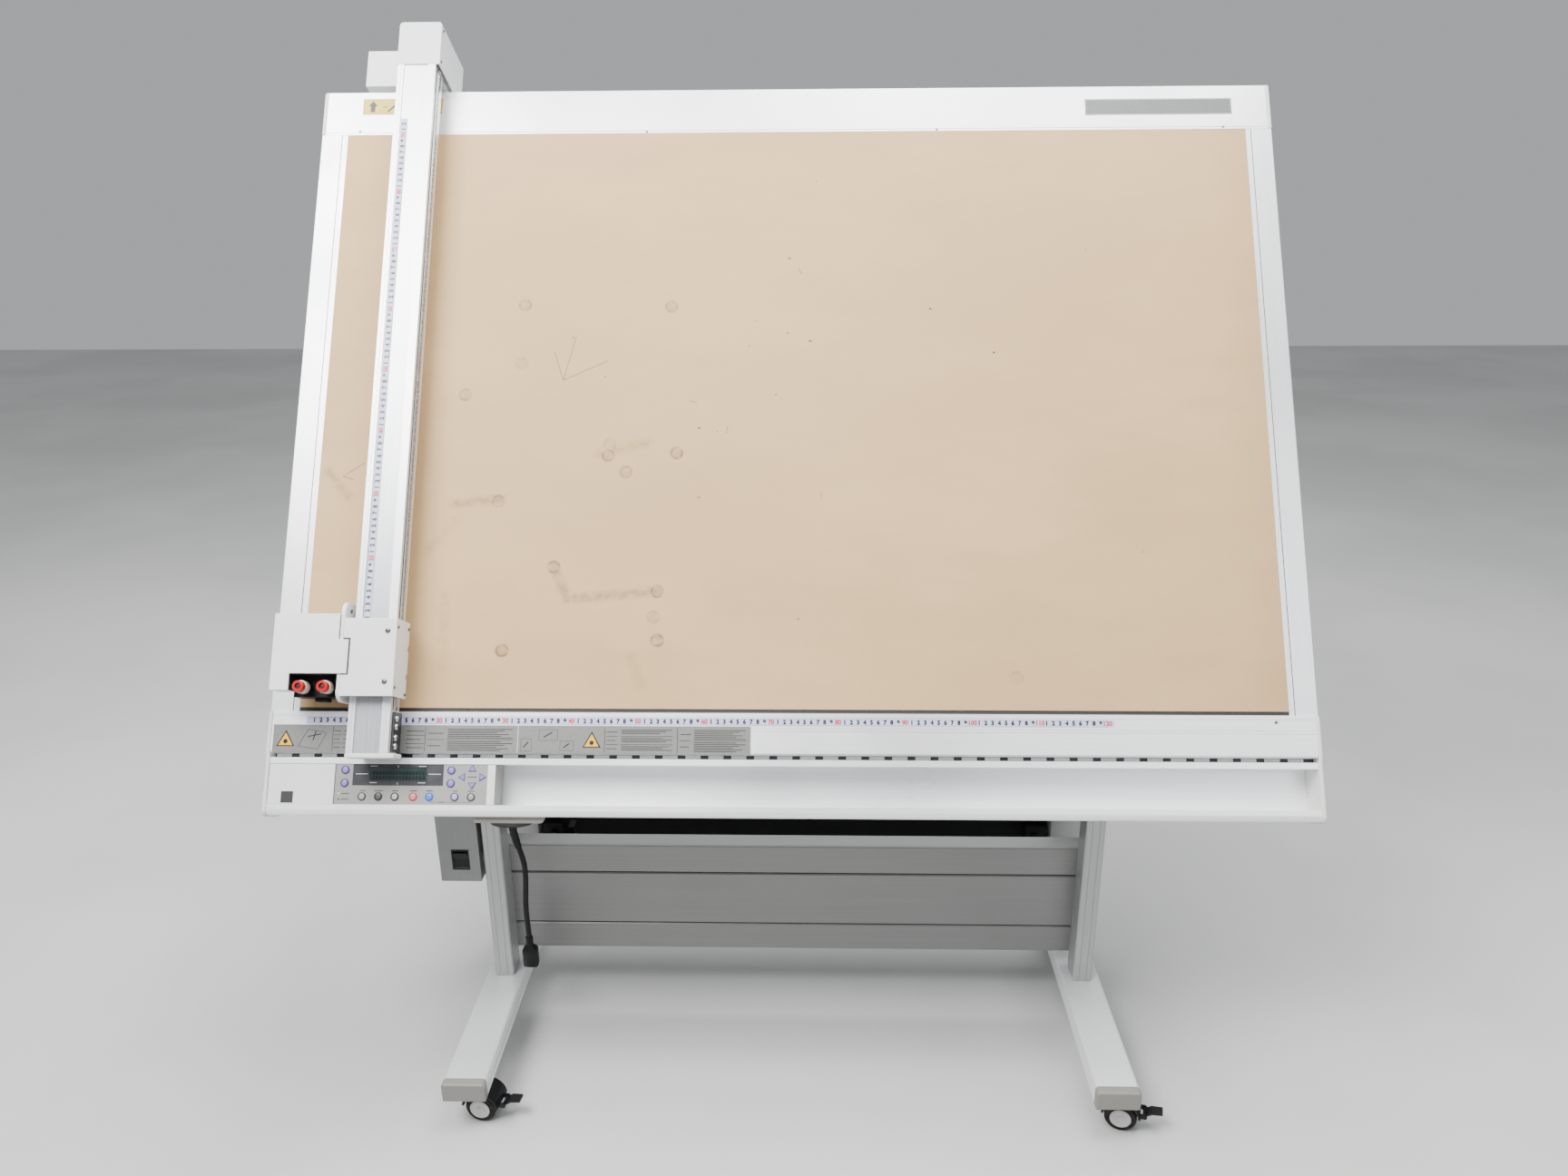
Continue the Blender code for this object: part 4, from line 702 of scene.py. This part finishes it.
def add_connector(end):
    """In-line coupler: ribbed neck, sloping shoulders and a rounded rectangular body."""
    top = end.z - 0.0003
    rows = [(0.0000, 0.0054, 0.0054), (0.0006, 0.0060, 0.0060)]
    for i in range(4):
        step = 0.0016 + i * 0.0040
        rows += [(step, 0.0062, 0.0062), (step + 0.0014, 0.0062, 0.0062), (step + 0.0017, 0.0053, 0.0053),
                 (step + 0.0027, 0.0053, 0.0053)]
    rows += [(0.0180, 0.0068, 0.0066), (0.0222, 0.0104, 0.0084), (0.0254, 0.0127, 0.0092),
             (0.0284, 0.0129, 0.0094), (0.0550, 0.0129, 0.0094), (0.0572, 0.0122, 0.0088),
             (0.0580, 0.0108, 0.0074)]
    bm = bmesh.new()
    loops = []
    for down, half_x, half_y in rows:
        power = 2.0 if down < 0.019 else 5.0
        ring = []
        for i in range(28):
            angle = 2 * math.pi * i / 28
            c, s = math.cos(angle), math.sin(angle)
            ring.append(bm.verts.new((end.x + half_x * math.copysign(abs(c) ** (2 / power), c),
                                      end.y + half_y * math.copysign(abs(s) ** (2 / power), s), top - down)))
        loops.append(ring)
    for upper, lower in zip(loops, loops[1:]):
        for i in range(28):
            bm.faces.new((upper[i], upper[(i + 1) % 28], lower[(i + 1) % 28], lower[i]))
    bm.faces.new(loops[0])
    bm.faces.new(loops[-1][::-1])
    finish = paint("connector_black", (0.005, 0.005, 0.005), on_bed=False, roughness=0.45, grain=1500)
    made = add_piece("lead_connector", to_mesh(bm), finish, "stand", smooth=True)
    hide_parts("cord_connector")
    return made


# ---------------------------------------------------------------------------
# Screws
# ---------------------------------------------------------------------------
def screw_mesh(radius, rise):
    """Button head with a hexagon socket; it sits on z = 0."""
    head = turned([(0, -0.0002), (radius, -0.0002), (radius, rise * 0.30), (radius * 0.86, rise * 0.72),
                   (radius * 0.55, rise * 0.95), (0, rise)], 24)
    socket = bmesh.new()
    add_prism(socket, arc((0, 0), radius * 0.50, 0, 300, 5), rise * 0.20, rise * 2)
    return cut_from(head, to_mesh(socket))


TOWARDS = {"w": Matrix.Identity(4), "u": Matrix.Rotation(math.pi / 2, 4, "Y"),
           "-u": Matrix.Rotation(-math.pi / 2, 4, "Y")}
SCREWS = {
    "rear_rail": ("bed", "w", 0.0021, 0.0009, ((0.004, 0.941, 0), (0.485, 0.937, 0), (0.965, 0.937, 0),
                                               (1.434, 0.938, 0))),
    "front_rail": ("bed", "w", 0.0024, 0.0010, ((1.448, -0.036, RAIL_TOP),)),
    "cover_top": ("carriage", "w", 0.0040, 0.0019, ((0.139, 0.087, COVER_TOP), (0.139, 0.012, COVER_TOP))),
    "cover_side": ("carriage", "u", 0.0028, 0.0015, ((0.152, 0.093, 0.069), (0.152, 0.004, 0.069),
                                                     (0.152, 0.096, 0.026), (0.152, -0.003, 0.026))),
    "plate_rear": ("carriage", "u", 0.0032, 0.0018, ((0.0732, 0.119, 0.052), (0.0732, 0.119, 0.026))),
    "beam_foot": ("beam", "u", 0.0048, 0.0028, ((0.1480, -0.0395, 0.039), (0.1480, -0.0515, 0.039),
                                                (0.1480, -0.0675, 0.039), (0.1480, -0.0800, 0.039))),
    "beam_left": ("beam", "-u", 0.0030, 0.0016, ((0.082, -0.070, 0.048), (0.082, -0.081, 0.048))),
    "head_side": ("beam", "u", 0.0026, 0.0013, ((0.150, 1.0350, 0.049), (0.150, 1.0930, 0.047))),
}


def add_screws():
    dull = steel("screw_steel", (0.20, 0.20, 0.20), 0.25)
    bright = steel("screw_bright_steel", (0.72, 0.72, 0.72), 0.16)
    for name, (body, heading, radius, rise, places) in SCREWS.items():
        bm = bmesh.new()
        head = screw_mesh(radius, rise)
        for index, place in enumerate(places):
            turn = Matrix.Rotation(0.7 * index, 4, "Z")
            copy_into(bm, head, Matrix.Translation(place) @ TOWARDS[heading] @ turn)
        finish = bright if name == "beam_foot" else dull
        add_piece(f"screws_{name}", to_mesh(bm), finish, body, BED, smooth=True)


# ---------------------------------------------------------------------------
# Labels and printing
# ---------------------------------------------------------------------------
def bed_boxes(name, spans, finish, body="bed"):
    """Thin closed blocks in bed coordinates, joined as one piece."""
    bm = bmesh.new()
    for u, v, w in spans:
        add_box(bm, u, v, w)
    return add_piece(name, to_mesh(bm), finish, body, BED)


def film(height, layer=0):
    """Low and high w of a printed layer on a surface."""
    low = height + LIFT + layer * DECAL
    return (low, low + DECAL)


TEXT_BLOCKS = ((0.042, 0.052, 3, 0.0), (0.056, 0.079, 3, 0.0), (0.152, 0.178, 3, 0.0), (0.184, 0.208, 2, 0.0),
               (0.214, 0.312, 2, 1.0), (0.454, 0.470, 3, 0.0), (0.476, 0.552, 3, 1.0), (0.564, 0.580, 2, 0.0),
               (0.585, 0.662, 2, 1.0))
STRIP_V = (-0.0872, -0.0460)


def add_rail_label():
    """Grey instruction strip: panels, ruled rows and bars where words would be."""
    grey = printed("label_grey", (0.185, 0.183, 0.177), 0.45)
    ink = printed("label_ink", (0.010, 0.010, 0.010))
    bed_boxes("rail_label", [((-0.051, 0.670), STRIP_V, film(RAIL_TOP))], grey)
    spans = []
    for u in (0.040, 0.180, 0.451, 0.560):
        spans.append(((u - 0.00040, u + 0.00040), (-0.0855, -0.0485), film(RAIL_TOP, 1)))
    for left, right, rows, dense in TEXT_BLOCKS:
        pitch = 0.037 / rows
        for row in range(rows):
            top = -0.0490 - row * pitch
            if row:
                spans.append(((left - 0.001, right + 0.001), (top - 0.00035, top + 0.00035),
                              film(RAIL_TOP, 1)))
            lines = int(pitch / 0.0026) - 1 if dense else 1
            for line in range(lines):
                v = top - 0.0030 - line * 0.0026 if dense else top - pitch / 2
                end = right - (right - left) * (0.06 * ((line * 7 + row * 3) % 5))
                spans.append(((left, end), (v - 0.00052, v + 0.00052), film(RAIL_TOP, 1)))
    bed_boxes("rail_label_lines", spans, ink)
    pale = printed("label_pale", (0.62, 0.62, 0.60))
    bed_boxes("rail_label_seams", [((u - 0.0004, u + 0.0004), STRIP_V, film(RAIL_TOP, 1))
                                   for u in (0.3200, 0.6698)], pale)
    add_triangles()
    add_pictograms(ink)


def triangle(u, v, size):
    return [(u - size, v), (u + size, v), (u, v + size * 1.76)]


def add_triangles():
    black, yellow = bmesh.new(), bmesh.new()
    for u in (-0.0315, 0.4315):
        low, high = film(RAIL_TOP, 1)
        add_prism(black, triangle(u, -0.0785, 0.0138), low, high)
        add_prism(black, arc((u, -0.0712), 0.0034, 0, 330, 11), high + DECAL, high + 2 * DECAL)
        low, high = film(RAIL_TOP, 2)
        add_prism(yellow, triangle(u, -0.0770, 0.0108), low, high)
    add_piece("label_triangle_borders", to_mesh(black), printed("triangle_black", (0.004, 0.004, 0.004)),
              "bed", BED)
    add_piece("label_triangles", to_mesh(yellow), printed("triangle_yellow", (0.80, 0.44, 0.001)),
              "bed", BED)


def outline_strokes(bm, corners, width, low, high):
    for a, b in zip(corners, corners[1:] + corners[:1]):
        stroke(bm, a, b, width, low, high)


def add_pictograms(ink):
    """Plain line drawings: a sheet on the bed with two arrows, and three framed sketches."""
    bm = bmesh.new()
    low, high = film(RAIL_TOP, 1)
    outline_strokes(bm, [(-0.012, -0.078), (0.018, -0.083), (0.030, -0.058), (0.002, -0.053)],
                    0.0007, low, high)
    stroke(bm, (0.002, -0.064), (0.022, -0.060), 0.0016, low, high)
    stroke(bm, (0.010, -0.070), (0.014, -0.055), 0.0016, low, high)
    for u, v, half, rise in ((0.333, -0.075, 0.008, 0.009), (0.366, -0.060, 0.014, 0.008),
                             (0.394, -0.076, 0.010, 0.007)):
        outline_strokes(bm, [(u - half, v - rise), (u + half, v - rise), (u + half, v + rise),
                             (u - half, v + rise)], 0.0005, low, high)
        stroke(bm, (u - half * 0.5, v - rise * 0.4), (u + half * 0.4, v + rise * 0.5), 0.0018, low, high)
    add_piece("label_pictograms", to_mesh(bm), ink, "bed", BED)


def add_rear_labels():
    yellow = printed("label_yellow", (0.66, 0.49, 0.045))
    dark = printed("label_yellow_ink", (0.020, 0.018, 0.010))
    bed_boxes("rear_label", [((0.006, 0.140), (0.972, 1.001), film(0))], yellow)
    low, high = film(0, 1)
    bm = bmesh.new()
    add_prism(bm, [(0.0190, 0.9765), (0.0265, 0.9765), (0.0265, 0.9875), (0.0305, 0.9875), (0.02275, 0.9970),
                   (0.0150, 0.9875), (0.0190, 0.9875)], low, high)
    outline_strokes(bm, [(0.007, 0.973), (0.139, 0.973), (0.139, 1.000), (0.007, 1.000)], 0.0004, low, high)
    stroke(bm, (0.0400, 0.9860), (0.0480, 0.9860), 0.0012, low, high)
    stroke(bm, (0.0480, 0.9770), (0.0640, 0.9930), 0.0030, low, high)
    stroke(bm, (0.0600, 0.9830), (0.0720, 0.9830), 0.0024, low, high)
    add_piece("rear_label_marks", to_mesh(bm), dark, "bed", BED)
    plate = printed("name_plate_grey", (0.13, 0.135, 0.135))
    bed_boxes("name_plate", [((1.210, 1.450), (0.961, 0.990), film(0))], plate)
    rim = printed("name_plate_rim", (0.50, 0.50, 0.50))
    bm = bmesh.new()
    outline_strokes(bm, [(1.2115, 0.9625), (1.4485, 0.9625), (1.4485, 0.9885), (1.2115, 0.9885)],
                    0.0006, low, high)
    add_piece("name_plate_border", to_mesh(bm), rim, "bed", BED)


# ---------------------------------------------------------------------------
# Control panel
# ---------------------------------------------------------------------------
LILAC, PALE_LILAC = (0.045, 0.028, 0.155), (0.235, 0.190, 0.46)
KEYS = (("f1", 0.0615, -0.1133, LILAC, PALE_LILAC), ("f2", 0.0615, -0.1325, LILAC, PALE_LILAC),
        ("f3", 0.2216, -0.1132, LILAC, PALE_LILAC), ("f4", 0.2216, -0.1324, LILAC, PALE_LILAC),
        ("row_1", 0.0889, -0.1523, (0.040, 0.040, 0.040), (0.34, 0.34, 0.33)),
        ("row_2", 0.1137, -0.1523, (0.015, 0.015, 0.015), (0.085, 0.085, 0.085)),
        ("row_3", 0.1385, -0.1523, (0.018, 0.018, 0.018), (0.40, 0.40, 0.39)),
        ("row_4", 0.1660, -0.1523, (0.42, 0.020, 0.040), (0.55, 0.22, 0.24)),
        ("row_5", 0.1904, -0.1523, (0.015, 0.075, 0.42), (0.060, 0.20, 0.66)),
        ("row_6", 0.2285, -0.1523, LILAC, (0.40, 0.37, 0.47)),
        ("row_7", 0.2531, -0.1523, (0.040, 0.040, 0.040), (0.30, 0.30, 0.30)))
ARROWS = (("up", 0.2535, -0.1111, 90), ("left", 0.2390, -0.1230, 180), ("right", 0.2679, -0.1228, 0),
          ("down", 0.2536, -0.1344, 270))


def key_material(name, ring, face):
    """Printed ring round a paler domed face; the key's origin is its centre."""
    finish = Finish(name, face, 0.36)
    finish.tint(finish.noise(500, detail=2), tuple(c * 0.93 for c in face), face)
    away = finish.vector("LENGTH", finish.vector("MULTIPLY", finish.place, (1.0, 1.0, 0.0)), output="Value")
    finish.over(finish.ranged(away, 0.0040, 0.0044), ring)
    return finish.material


def add_keys():
    dome = [(0, 0.0002), (0.0061, 0.0002), (0.0062, 0.0006), (0.0059, 0.0009), (0.0050, 0.0010),
            (0.0047, 0.0008), (0.0044, 0.0010), (0.0025, 0.0013), (0, 0.0014)]
    for name, u, v, ring, face in KEYS:
        place = BED @ Matrix.Translation((u, v, PANEL_TOP))
        add_piece(f"key_{name}", turned(dome, 36), key_material(f"key_{name}_print", ring, face), "bed",
                  place, smooth=True)
    for name, u, v, heading in ARROWS:
        bm = bmesh.new()
        low, high = 0.0002, 0.0008
        add_prism(bm, arc((0, 0), 0.0068, heading, heading + 240, 2), low, high)
        add_prism(bm, arc((0, 0), 0.0050, heading, heading + 240, 2), high, high + 0.0003)
        finish = Finish(f"key_{name}_print", PALE_LILAC, 0.38)
        finish.tint(finish.noise(400), tuple(c * 0.9 for c in PALE_LILAC), PALE_LILAC)
        finish.over(finish.ranged(finish.axis("Z"), 0.0010, 0.00095), LILAC)
        add_piece(f"key_{name}", to_mesh(bm), finish.material, "bed",
                  BED @ Matrix.Translation((u, v, PANEL_TOP)), edge=0.0001)


def add_panel_print():
    top = PANEL_TOP
    bezel = printed("bezel_grey", (0.040, 0.042, 0.045), 0.34)
    low = (top - 0.0006 + LIFT, top - 0.0006 + LIFT + DECAL)
    window = ((0.0982, 0.1843), (-0.1288, -0.1092))
    bed_boxes("bezel_film", [((0.0732, window[0][0]), (-0.1360, -0.1045), low),
                             ((window[0][1], 0.2098), (-0.1360, -0.1045), low),
                             (window[0], (-0.1360, window[1][0]), low),
                             (window[0], (window[1][1], -0.1045), low)],
              bezel)
    over = (low[1], low[1] + DECAL)
    pale = printed("bezel_pale", (0.66, 0.66, 0.66))
    marks = [((0.0775, 0.0955), (-0.1194, -0.1186), over), ((0.1870, 0.2060), (-0.1194, -0.1186), over),
             ((0.1405, 0.1412), (-0.1090, -0.1062), over), ((0.1405, 0.1412), (-0.1345, -0.1315), over)]
    for u in (0.0990, 0.1720):
        marks += [((u, u + 0.011), (-0.1078, -0.1070), over), ((u, u + 0.011), (-0.1322, -0.1314), over)]
    bed_boxes("bezel_marks", marks, pale)
    ink = printed("panel_ink", (0.012, 0.012, 0.012))
    level = film(top)
    words = [((0.0860, 0.0950), (-0.1441, -0.1431), level), ((0.1070, 0.1205), (-0.1441, -0.1431), level),
             ((0.1345, 0.1430), (-0.1441, -0.1431), level), ((0.1610, 0.1715), (-0.1441, -0.1431), level),
             ((0.1855, 0.1955), (-0.1441, -0.1431), level), ((0.2250, 0.2325), (-0.1441, -0.1431), level),
             ((0.2480, 0.2585), (-0.1441, -0.1431), level), ((0.2465, 0.2605), (-0.1234, -0.1224), level),
             ((0.0575, 0.0690), (-0.1488, -0.1478), level), ((0.0575, 0.0690), (-0.1570, -0.1560), level),
             ((0.1910, 0.2030), (-0.1602, -0.1598), level), ((0.2150, 0.2531), (-0.1602, -0.1598), level),
             ((0.2045, 0.2135), (-0.1605, -0.1595), level), ((0.1515, 0.1525), (-0.1500, -0.1490), level)]
    bed_boxes("panel_marks", words, ink)
    bed_boxes("panel_edge_strip", [((0.2765, 0.2878), (-0.1632, -0.1045), level)],
              printed("panel_edge_white", (0.72, 0.72, 0.70)))
    bed_boxes("panel_split_line", [((0.0462, 0.0474), (-0.1635, -0.1045), level)],
              printed("panel_line", (0.08, 0.08, 0.08)))
    add_lamps()
    add_display_rows()


def add_lamps():
    lens = [(0, 0.0), (0.0014, 0.0), (0.0013, 0.0005), (0.0008, 0.0008), (0, 0.0009)]
    lit = Finish("lamp_green", (0.35, 0.72, 0.10), 0.2)
    lit.tint(lit.noise(900), (0.28, 0.62, 0.08), (0.45, 0.80, 0.16))
    lit.shader.inputs["Emission Color"].default_value = (0.45, 0.9, 0.12, 1.0)
    lit.shader.inputs["Emission Strength"].default_value = 0.6
    off = printed("lamp_off", (0.06, 0.07, 0.06), 0.25)
    for name, v, finish in (("ready", -0.1483, lit.material), ("idle", -0.1565, off)):
        add_piece(f"lamp_{name}", turned(lens, 20), finish, "bed",
                  BED @ Matrix.Translation((0.0538, v, PANEL_TOP)), smooth=True)


def add_display_rows():
    """Character cells of a two-line display, unlit."""
    spans = []
    w = (PANEL_TOP - 0.0010 + LIFT, PANEL_TOP - 0.0010 + LIFT + DECAL / 2)
    for row in range(2):
        for cell in range(16):
            u = 0.1025 + cell * 0.0050
            v = -0.1180 - row * 0.0068
            spans.append(((u, u + 0.0037), (v - 0.0024, v + 0.0028), w))
    bed_boxes("display_cells", spans, printed("display_cell", (0.012, 0.020, 0.020), 0.2))


# ---------------------------------------------------------------------------
# Bed details
# ---------------------------------------------------------------------------
CUTS = (((0.348, 0.550), (0.364, 0.502)), ((0.364, 0.502), (0.382, 0.576)), ((0.364, 0.502), (0.434, 0.534)),
        ((0.022, 0.343), (0.055, 0.365)), ((0.566, 0.467), (0.578, 0.464)), ((0.625, 0.413), (0.628, 0.425)),
        ((0.775, 0.317), (0.775, 0.306)), ((0.738, 0.691), (0.744, 0.682)), ((0.022, 0.343), (0.040, 0.338)))
SPOTS = ((0.671, 0.601), (0.721, 0.581), (0.757, 0.567), (0.660, 0.559), (0.431, 0.508), (0.582, 0.422),
         (0.611, 0.416), (0.703, 0.477), (0.949, 0.621), (1.201, 0.722), (0.740, 0.118), (0.723, 0.709),
         (0.767, 0.845), (0.584, 0.309), (1.048, 0.547), (1.267, 0.223), (0.377, 0.574))


def add_mat_marks():
    """Knife cuts and stuck specks on the mat."""
    bm = bmesh.new()
    low, high = MAT_TOP + 0.00001, MAT_TOP + 0.00008
    for start, end in CUTS:
        stroke(bm, start, end, 0.0009, low, high)
    for index, (u, v) in enumerate(SPOTS):
        size = 0.0011 + 0.0005 * (index % 3)
        ring = [(u + size * (1 + 0.3 * ((k * 5 + index) % 3 - 1)) * math.cos(k * math.pi / 4),
                 v + 0.7 * size * math.sin(k * math.pi / 4)) for k in range(8)]
        add_prism(bm, ring, low, high + 0.0003)
    add_piece("mat_marks", to_mesh(bm), printed("mat_mark_ink", (0.115, 0.080, 0.052), 0.7), "bed", BED)


def add_bed_lines():
    black = printed("seam_and_shade_black", (0.025, 0.025, 0.026), 0.6)
    spans = [((-0.0259, -0.0251), (-0.0255, 0.9340), (-0.00145, -0.0002)),
             ((1.4781, 1.4789), (-0.0255, 0.9340), (-0.00145, -0.0002)),
             ((-0.0150, 1.4690), (-0.0254, -0.0213), (-0.00325, -0.0010))]
    # A black film on the mat's front edge: painted shade widening the dark gap in front of the mat.
    spans.append(((-0.0150, 1.4690), (-0.0209, -0.0199), film(MAT_TOP)))
    bed_boxes("bed_gaps_and_mat_edge_shade", spans, black)
    bed_boxes("blank_plate_window", [((-0.0333, -0.0153), (-0.1621, -0.1454), (PANEL_TOP - 0.0011,
                                                                              PANEL_TOP - 0.0004))], black)


def add_slot_strip():
    """Perforated drive strip on the slot's floor: a white tape over a dark one."""
    floor = -0.014
    bed_boxes("slot_tape", [((-0.053, 1.506), (-0.0943, -0.0885), film(floor))],
              printed("tape_black", (0.030, 0.030, 0.032), 0.55))
    spans = []
    count = 45
    for index in range(count):
        start = -0.050 + index * 0.0345
        spans.append(((start, start + 0.0225), (-0.0938, -0.0890), (floor + 0.0002, floor + 0.0008)))
    bed_boxes("slot_tape_bars", spans, printed("tape_white", (0.66, 0.66, 0.65), 0.5))


def add_holder_wells():
    """The blade screw down inside each holder's cap."""
    for side, u in (("left", 0.0137), ("right", 0.0490)):
        well = turned([(0, -0.0001), (0.0043, -0.0001), (0.0043, 0.0008), (0.0030, 0.0008), (0.0026, 0.0018),
                       (0.0009, 0.0019), (0.0007, 0.0009), (0, 0.0009)], 24)
        red_steel = steel(f"holder_screw_{side}_steel", (0.10, 0.045, 0.045), 0.4)
        add_piece(f"holder_screw_{side}", well, red_steel, f"tool_{side}",
                  BED @ Matrix.Translation((u, 0.0045, 0.0752)), smooth=True)


# ---------------------------------------------------------------------------
# Stand details
# ---------------------------------------------------------------------------
def add_hub_caps():
    """Pressed grey cap on each face of each caster's wheels."""
    finish = paint("hub_grey", (0.52, 0.52, 0.50), on_bed=False, roughness=0.4, grain=900)
    disc = [(0, 0.0), (0.0163, 0.0), (0.0163, 0.0006), (0.0152, 0.0013), (0.0120, 0.0017), (0.0112, 0.0012),
            (0.0065, 0.0012), (0.0055, 0.0020), (0.0030, 0.0024), (0, 0.0025)]
    for place, yaw in CASTERS.items():
        low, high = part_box(f"caster_wheels_{place}")
        centre = Matrix.Translation((low + high) / 2) @ Matrix.Rotation(math.radians(yaw), 4, "Z")
        bm = bmesh.new()
        cap = turned(disc, 36)
        for side in (-1, 1):
            out = Matrix.Translation((side * 0.0205, 0, 0)) @ Matrix.Rotation(side * math.pi / 2, 4, "Y")
            copy_into(bm, cap, centre @ out)
        add_piece(f"hub_caps_{place}", to_mesh(bm), finish, f"wheels_{place}", WORLD,
                  smooth=True)


def add_stretcher_seams():
    """Black rubber in the open joints between the stretchers."""
    bm = bmesh.new()
    for lower, upper in (("stretcher_lower", "stretcher_middle"), ("stretcher_middle", "stretcher_upper")):
        low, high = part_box(lower)[1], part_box(upper)[0]
        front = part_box(lower)[0].y
        add_box(bm, (high.x + 0.033, low.x - 0.033), (front + 0.0006, front + 0.0050),
                (low.z + 0.0001, high.z - 0.0001))
    add_piece("stretcher_seams", to_mesh(bm), rubber("seam_rubber"), "stand")


BEAM_SIDE = 0.1440               # u of the beam's right face
BEAM_ENDS = (-0.0275, 1.0250)    # v of the guide bar's two ends


def add_beam_rail():
    """Polished guide bar and dark groove on the beam's right side."""
    side, ends = BEAM_SIDE, BEAM_ENDS
    groove = (side + 0.00004, side + 0.00016)
    bm = bmesh.new()
    section = [(side + 0.0001, 0.0330), (side + 0.0016, 0.0330), (side + 0.0026, 0.0340),
               (side + 0.0026, 0.0395), (side + 0.0016, 0.0405), (side + 0.0001, 0.0405)]
    rings = [[bm.verts.new((u, v, w)) for u, w in section] for v in ends]
    bm.faces.new(rings[0])
    bm.faces.new(rings[1][::-1])
    for i in range(len(section)):
        j = (i + 1) % len(section)
        bm.faces.new((rings[0][i], rings[1][i], rings[1][j], rings[0][j]))
    bar = steel("guide_bar_steel", (0.66, 0.66, 0.67), 0.20, True)
    add_piece("beam_guide_bar", to_mesh(bm), bar, "beam", BED)
    dark = printed("beam_groove_black", (0.012, 0.012, 0.012), 0.5)
    bed_boxes("beam_side_groove", [(groove, ends, (0.0440, 0.0478)),
                                   (groove, ends, (0.0300, 0.0316))], dark, "beam")


def add_carriage_seams():
    """Dark lines where the two covers meet over the side plate, and black films of painted shade on the tool
    notch's inner walls.
    """
    black = printed("carriage_seam_black", (0.006, 0.006, 0.006), 0.6)
    sunk, on_plate = (0.0727, 0.0743), (0.07224, 0.07238)
    over = film(COVER_TOP)
    tongue, joint = (0.0740, 0.0834), (0.0737, 0.0829)
    plate_left, plate_right = (0.0670, 0.0678), (0.0724, 0.0732)
    bed_boxes("carriage_gaskets", [((0.0834, 0.0848), (0.0215, 0.0762), over),
                                   (tongue, (0.0749, 0.0762), over),
                                   (tongue, (0.0215, 0.0224), over)], black, "carriage")
    # Black films on the notch's inner walls: painted shade inside the notch.
    bed_boxes("notch_painted_shade", [((-0.00235, -0.00222), (-0.0009, 0.0233), (0.0452, 0.0722)),
                               ((-0.0022, 0.0660), (0.02325, 0.02345), (0.0452, 0.0722)),
                               ((0.06675, 0.06690), (-0.0008, 0.0232), (0.0452, 0.0715))], black, "carriage")
    bed_boxes("carriage_seams", [((0.0821, 0.0829), (0.0226, 0.0746), sunk),
                                 (joint, (0.0226, 0.0234), sunk),
                                 (joint, (0.0738, 0.0746), sunk),
                                 (plate_left, (-0.0008, 0.0225), on_plate),
                                 (plate_right, (-0.0008, 0.0225), on_plate),
                                 (plate_left, (0.0745, 0.1105), on_plate),
                                 (plate_right, (0.0755, 0.1050), on_plate)], black, "carriage")


def add_switch_frame():
    """Raised black frame round the power rocker."""
    low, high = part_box("power_switch")
    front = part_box("switch_box")[0].y
    bm = bmesh.new()
    x, z, rim = (low.x - 0.0004, high.x + 0.0004), (low.z - 0.0014, high.z + 0.0014), 0.0022
    y = (front - 0.0014, front - 0.00005)
    for across, tall in (((x[0] - rim, x[0]), (z[0] - rim, z[1] + rim)),
                         ((x[1], x[1] + rim), (z[0] - rim, z[1] + rim)),
                         (x, (z[0] - rim, z[0])), (x, (z[1], z[1] + rim))):
        add_box(bm, across, y, tall)
    finish = paint("switch_frame_black", (0.006, 0.006, 0.006), on_bed=False, roughness=0.4, grain=1500)
    add_piece("power_switch_frame", to_mesh(bm), finish, "stand")


add_camera()
add_light()
add_floor()
add_cord()
dress_cad()
add_rulers()
add_screws()
add_rail_label()
add_rear_labels()
add_keys()
add_panel_print()
add_mat_marks()
add_bed_lines()
add_slot_strip()
add_holder_wells()
add_hub_caps()
add_stretcher_seams()
add_beam_rail()
add_carriage_seams()
add_switch_frame()
round_edges(0.0006, "carriage_cover_left", "carriage_cover_right", "carriage_side_plate", "beam_end_cap",
            "front_cap_left", "front_cap_right", "beam_rear_head", "motor_box")
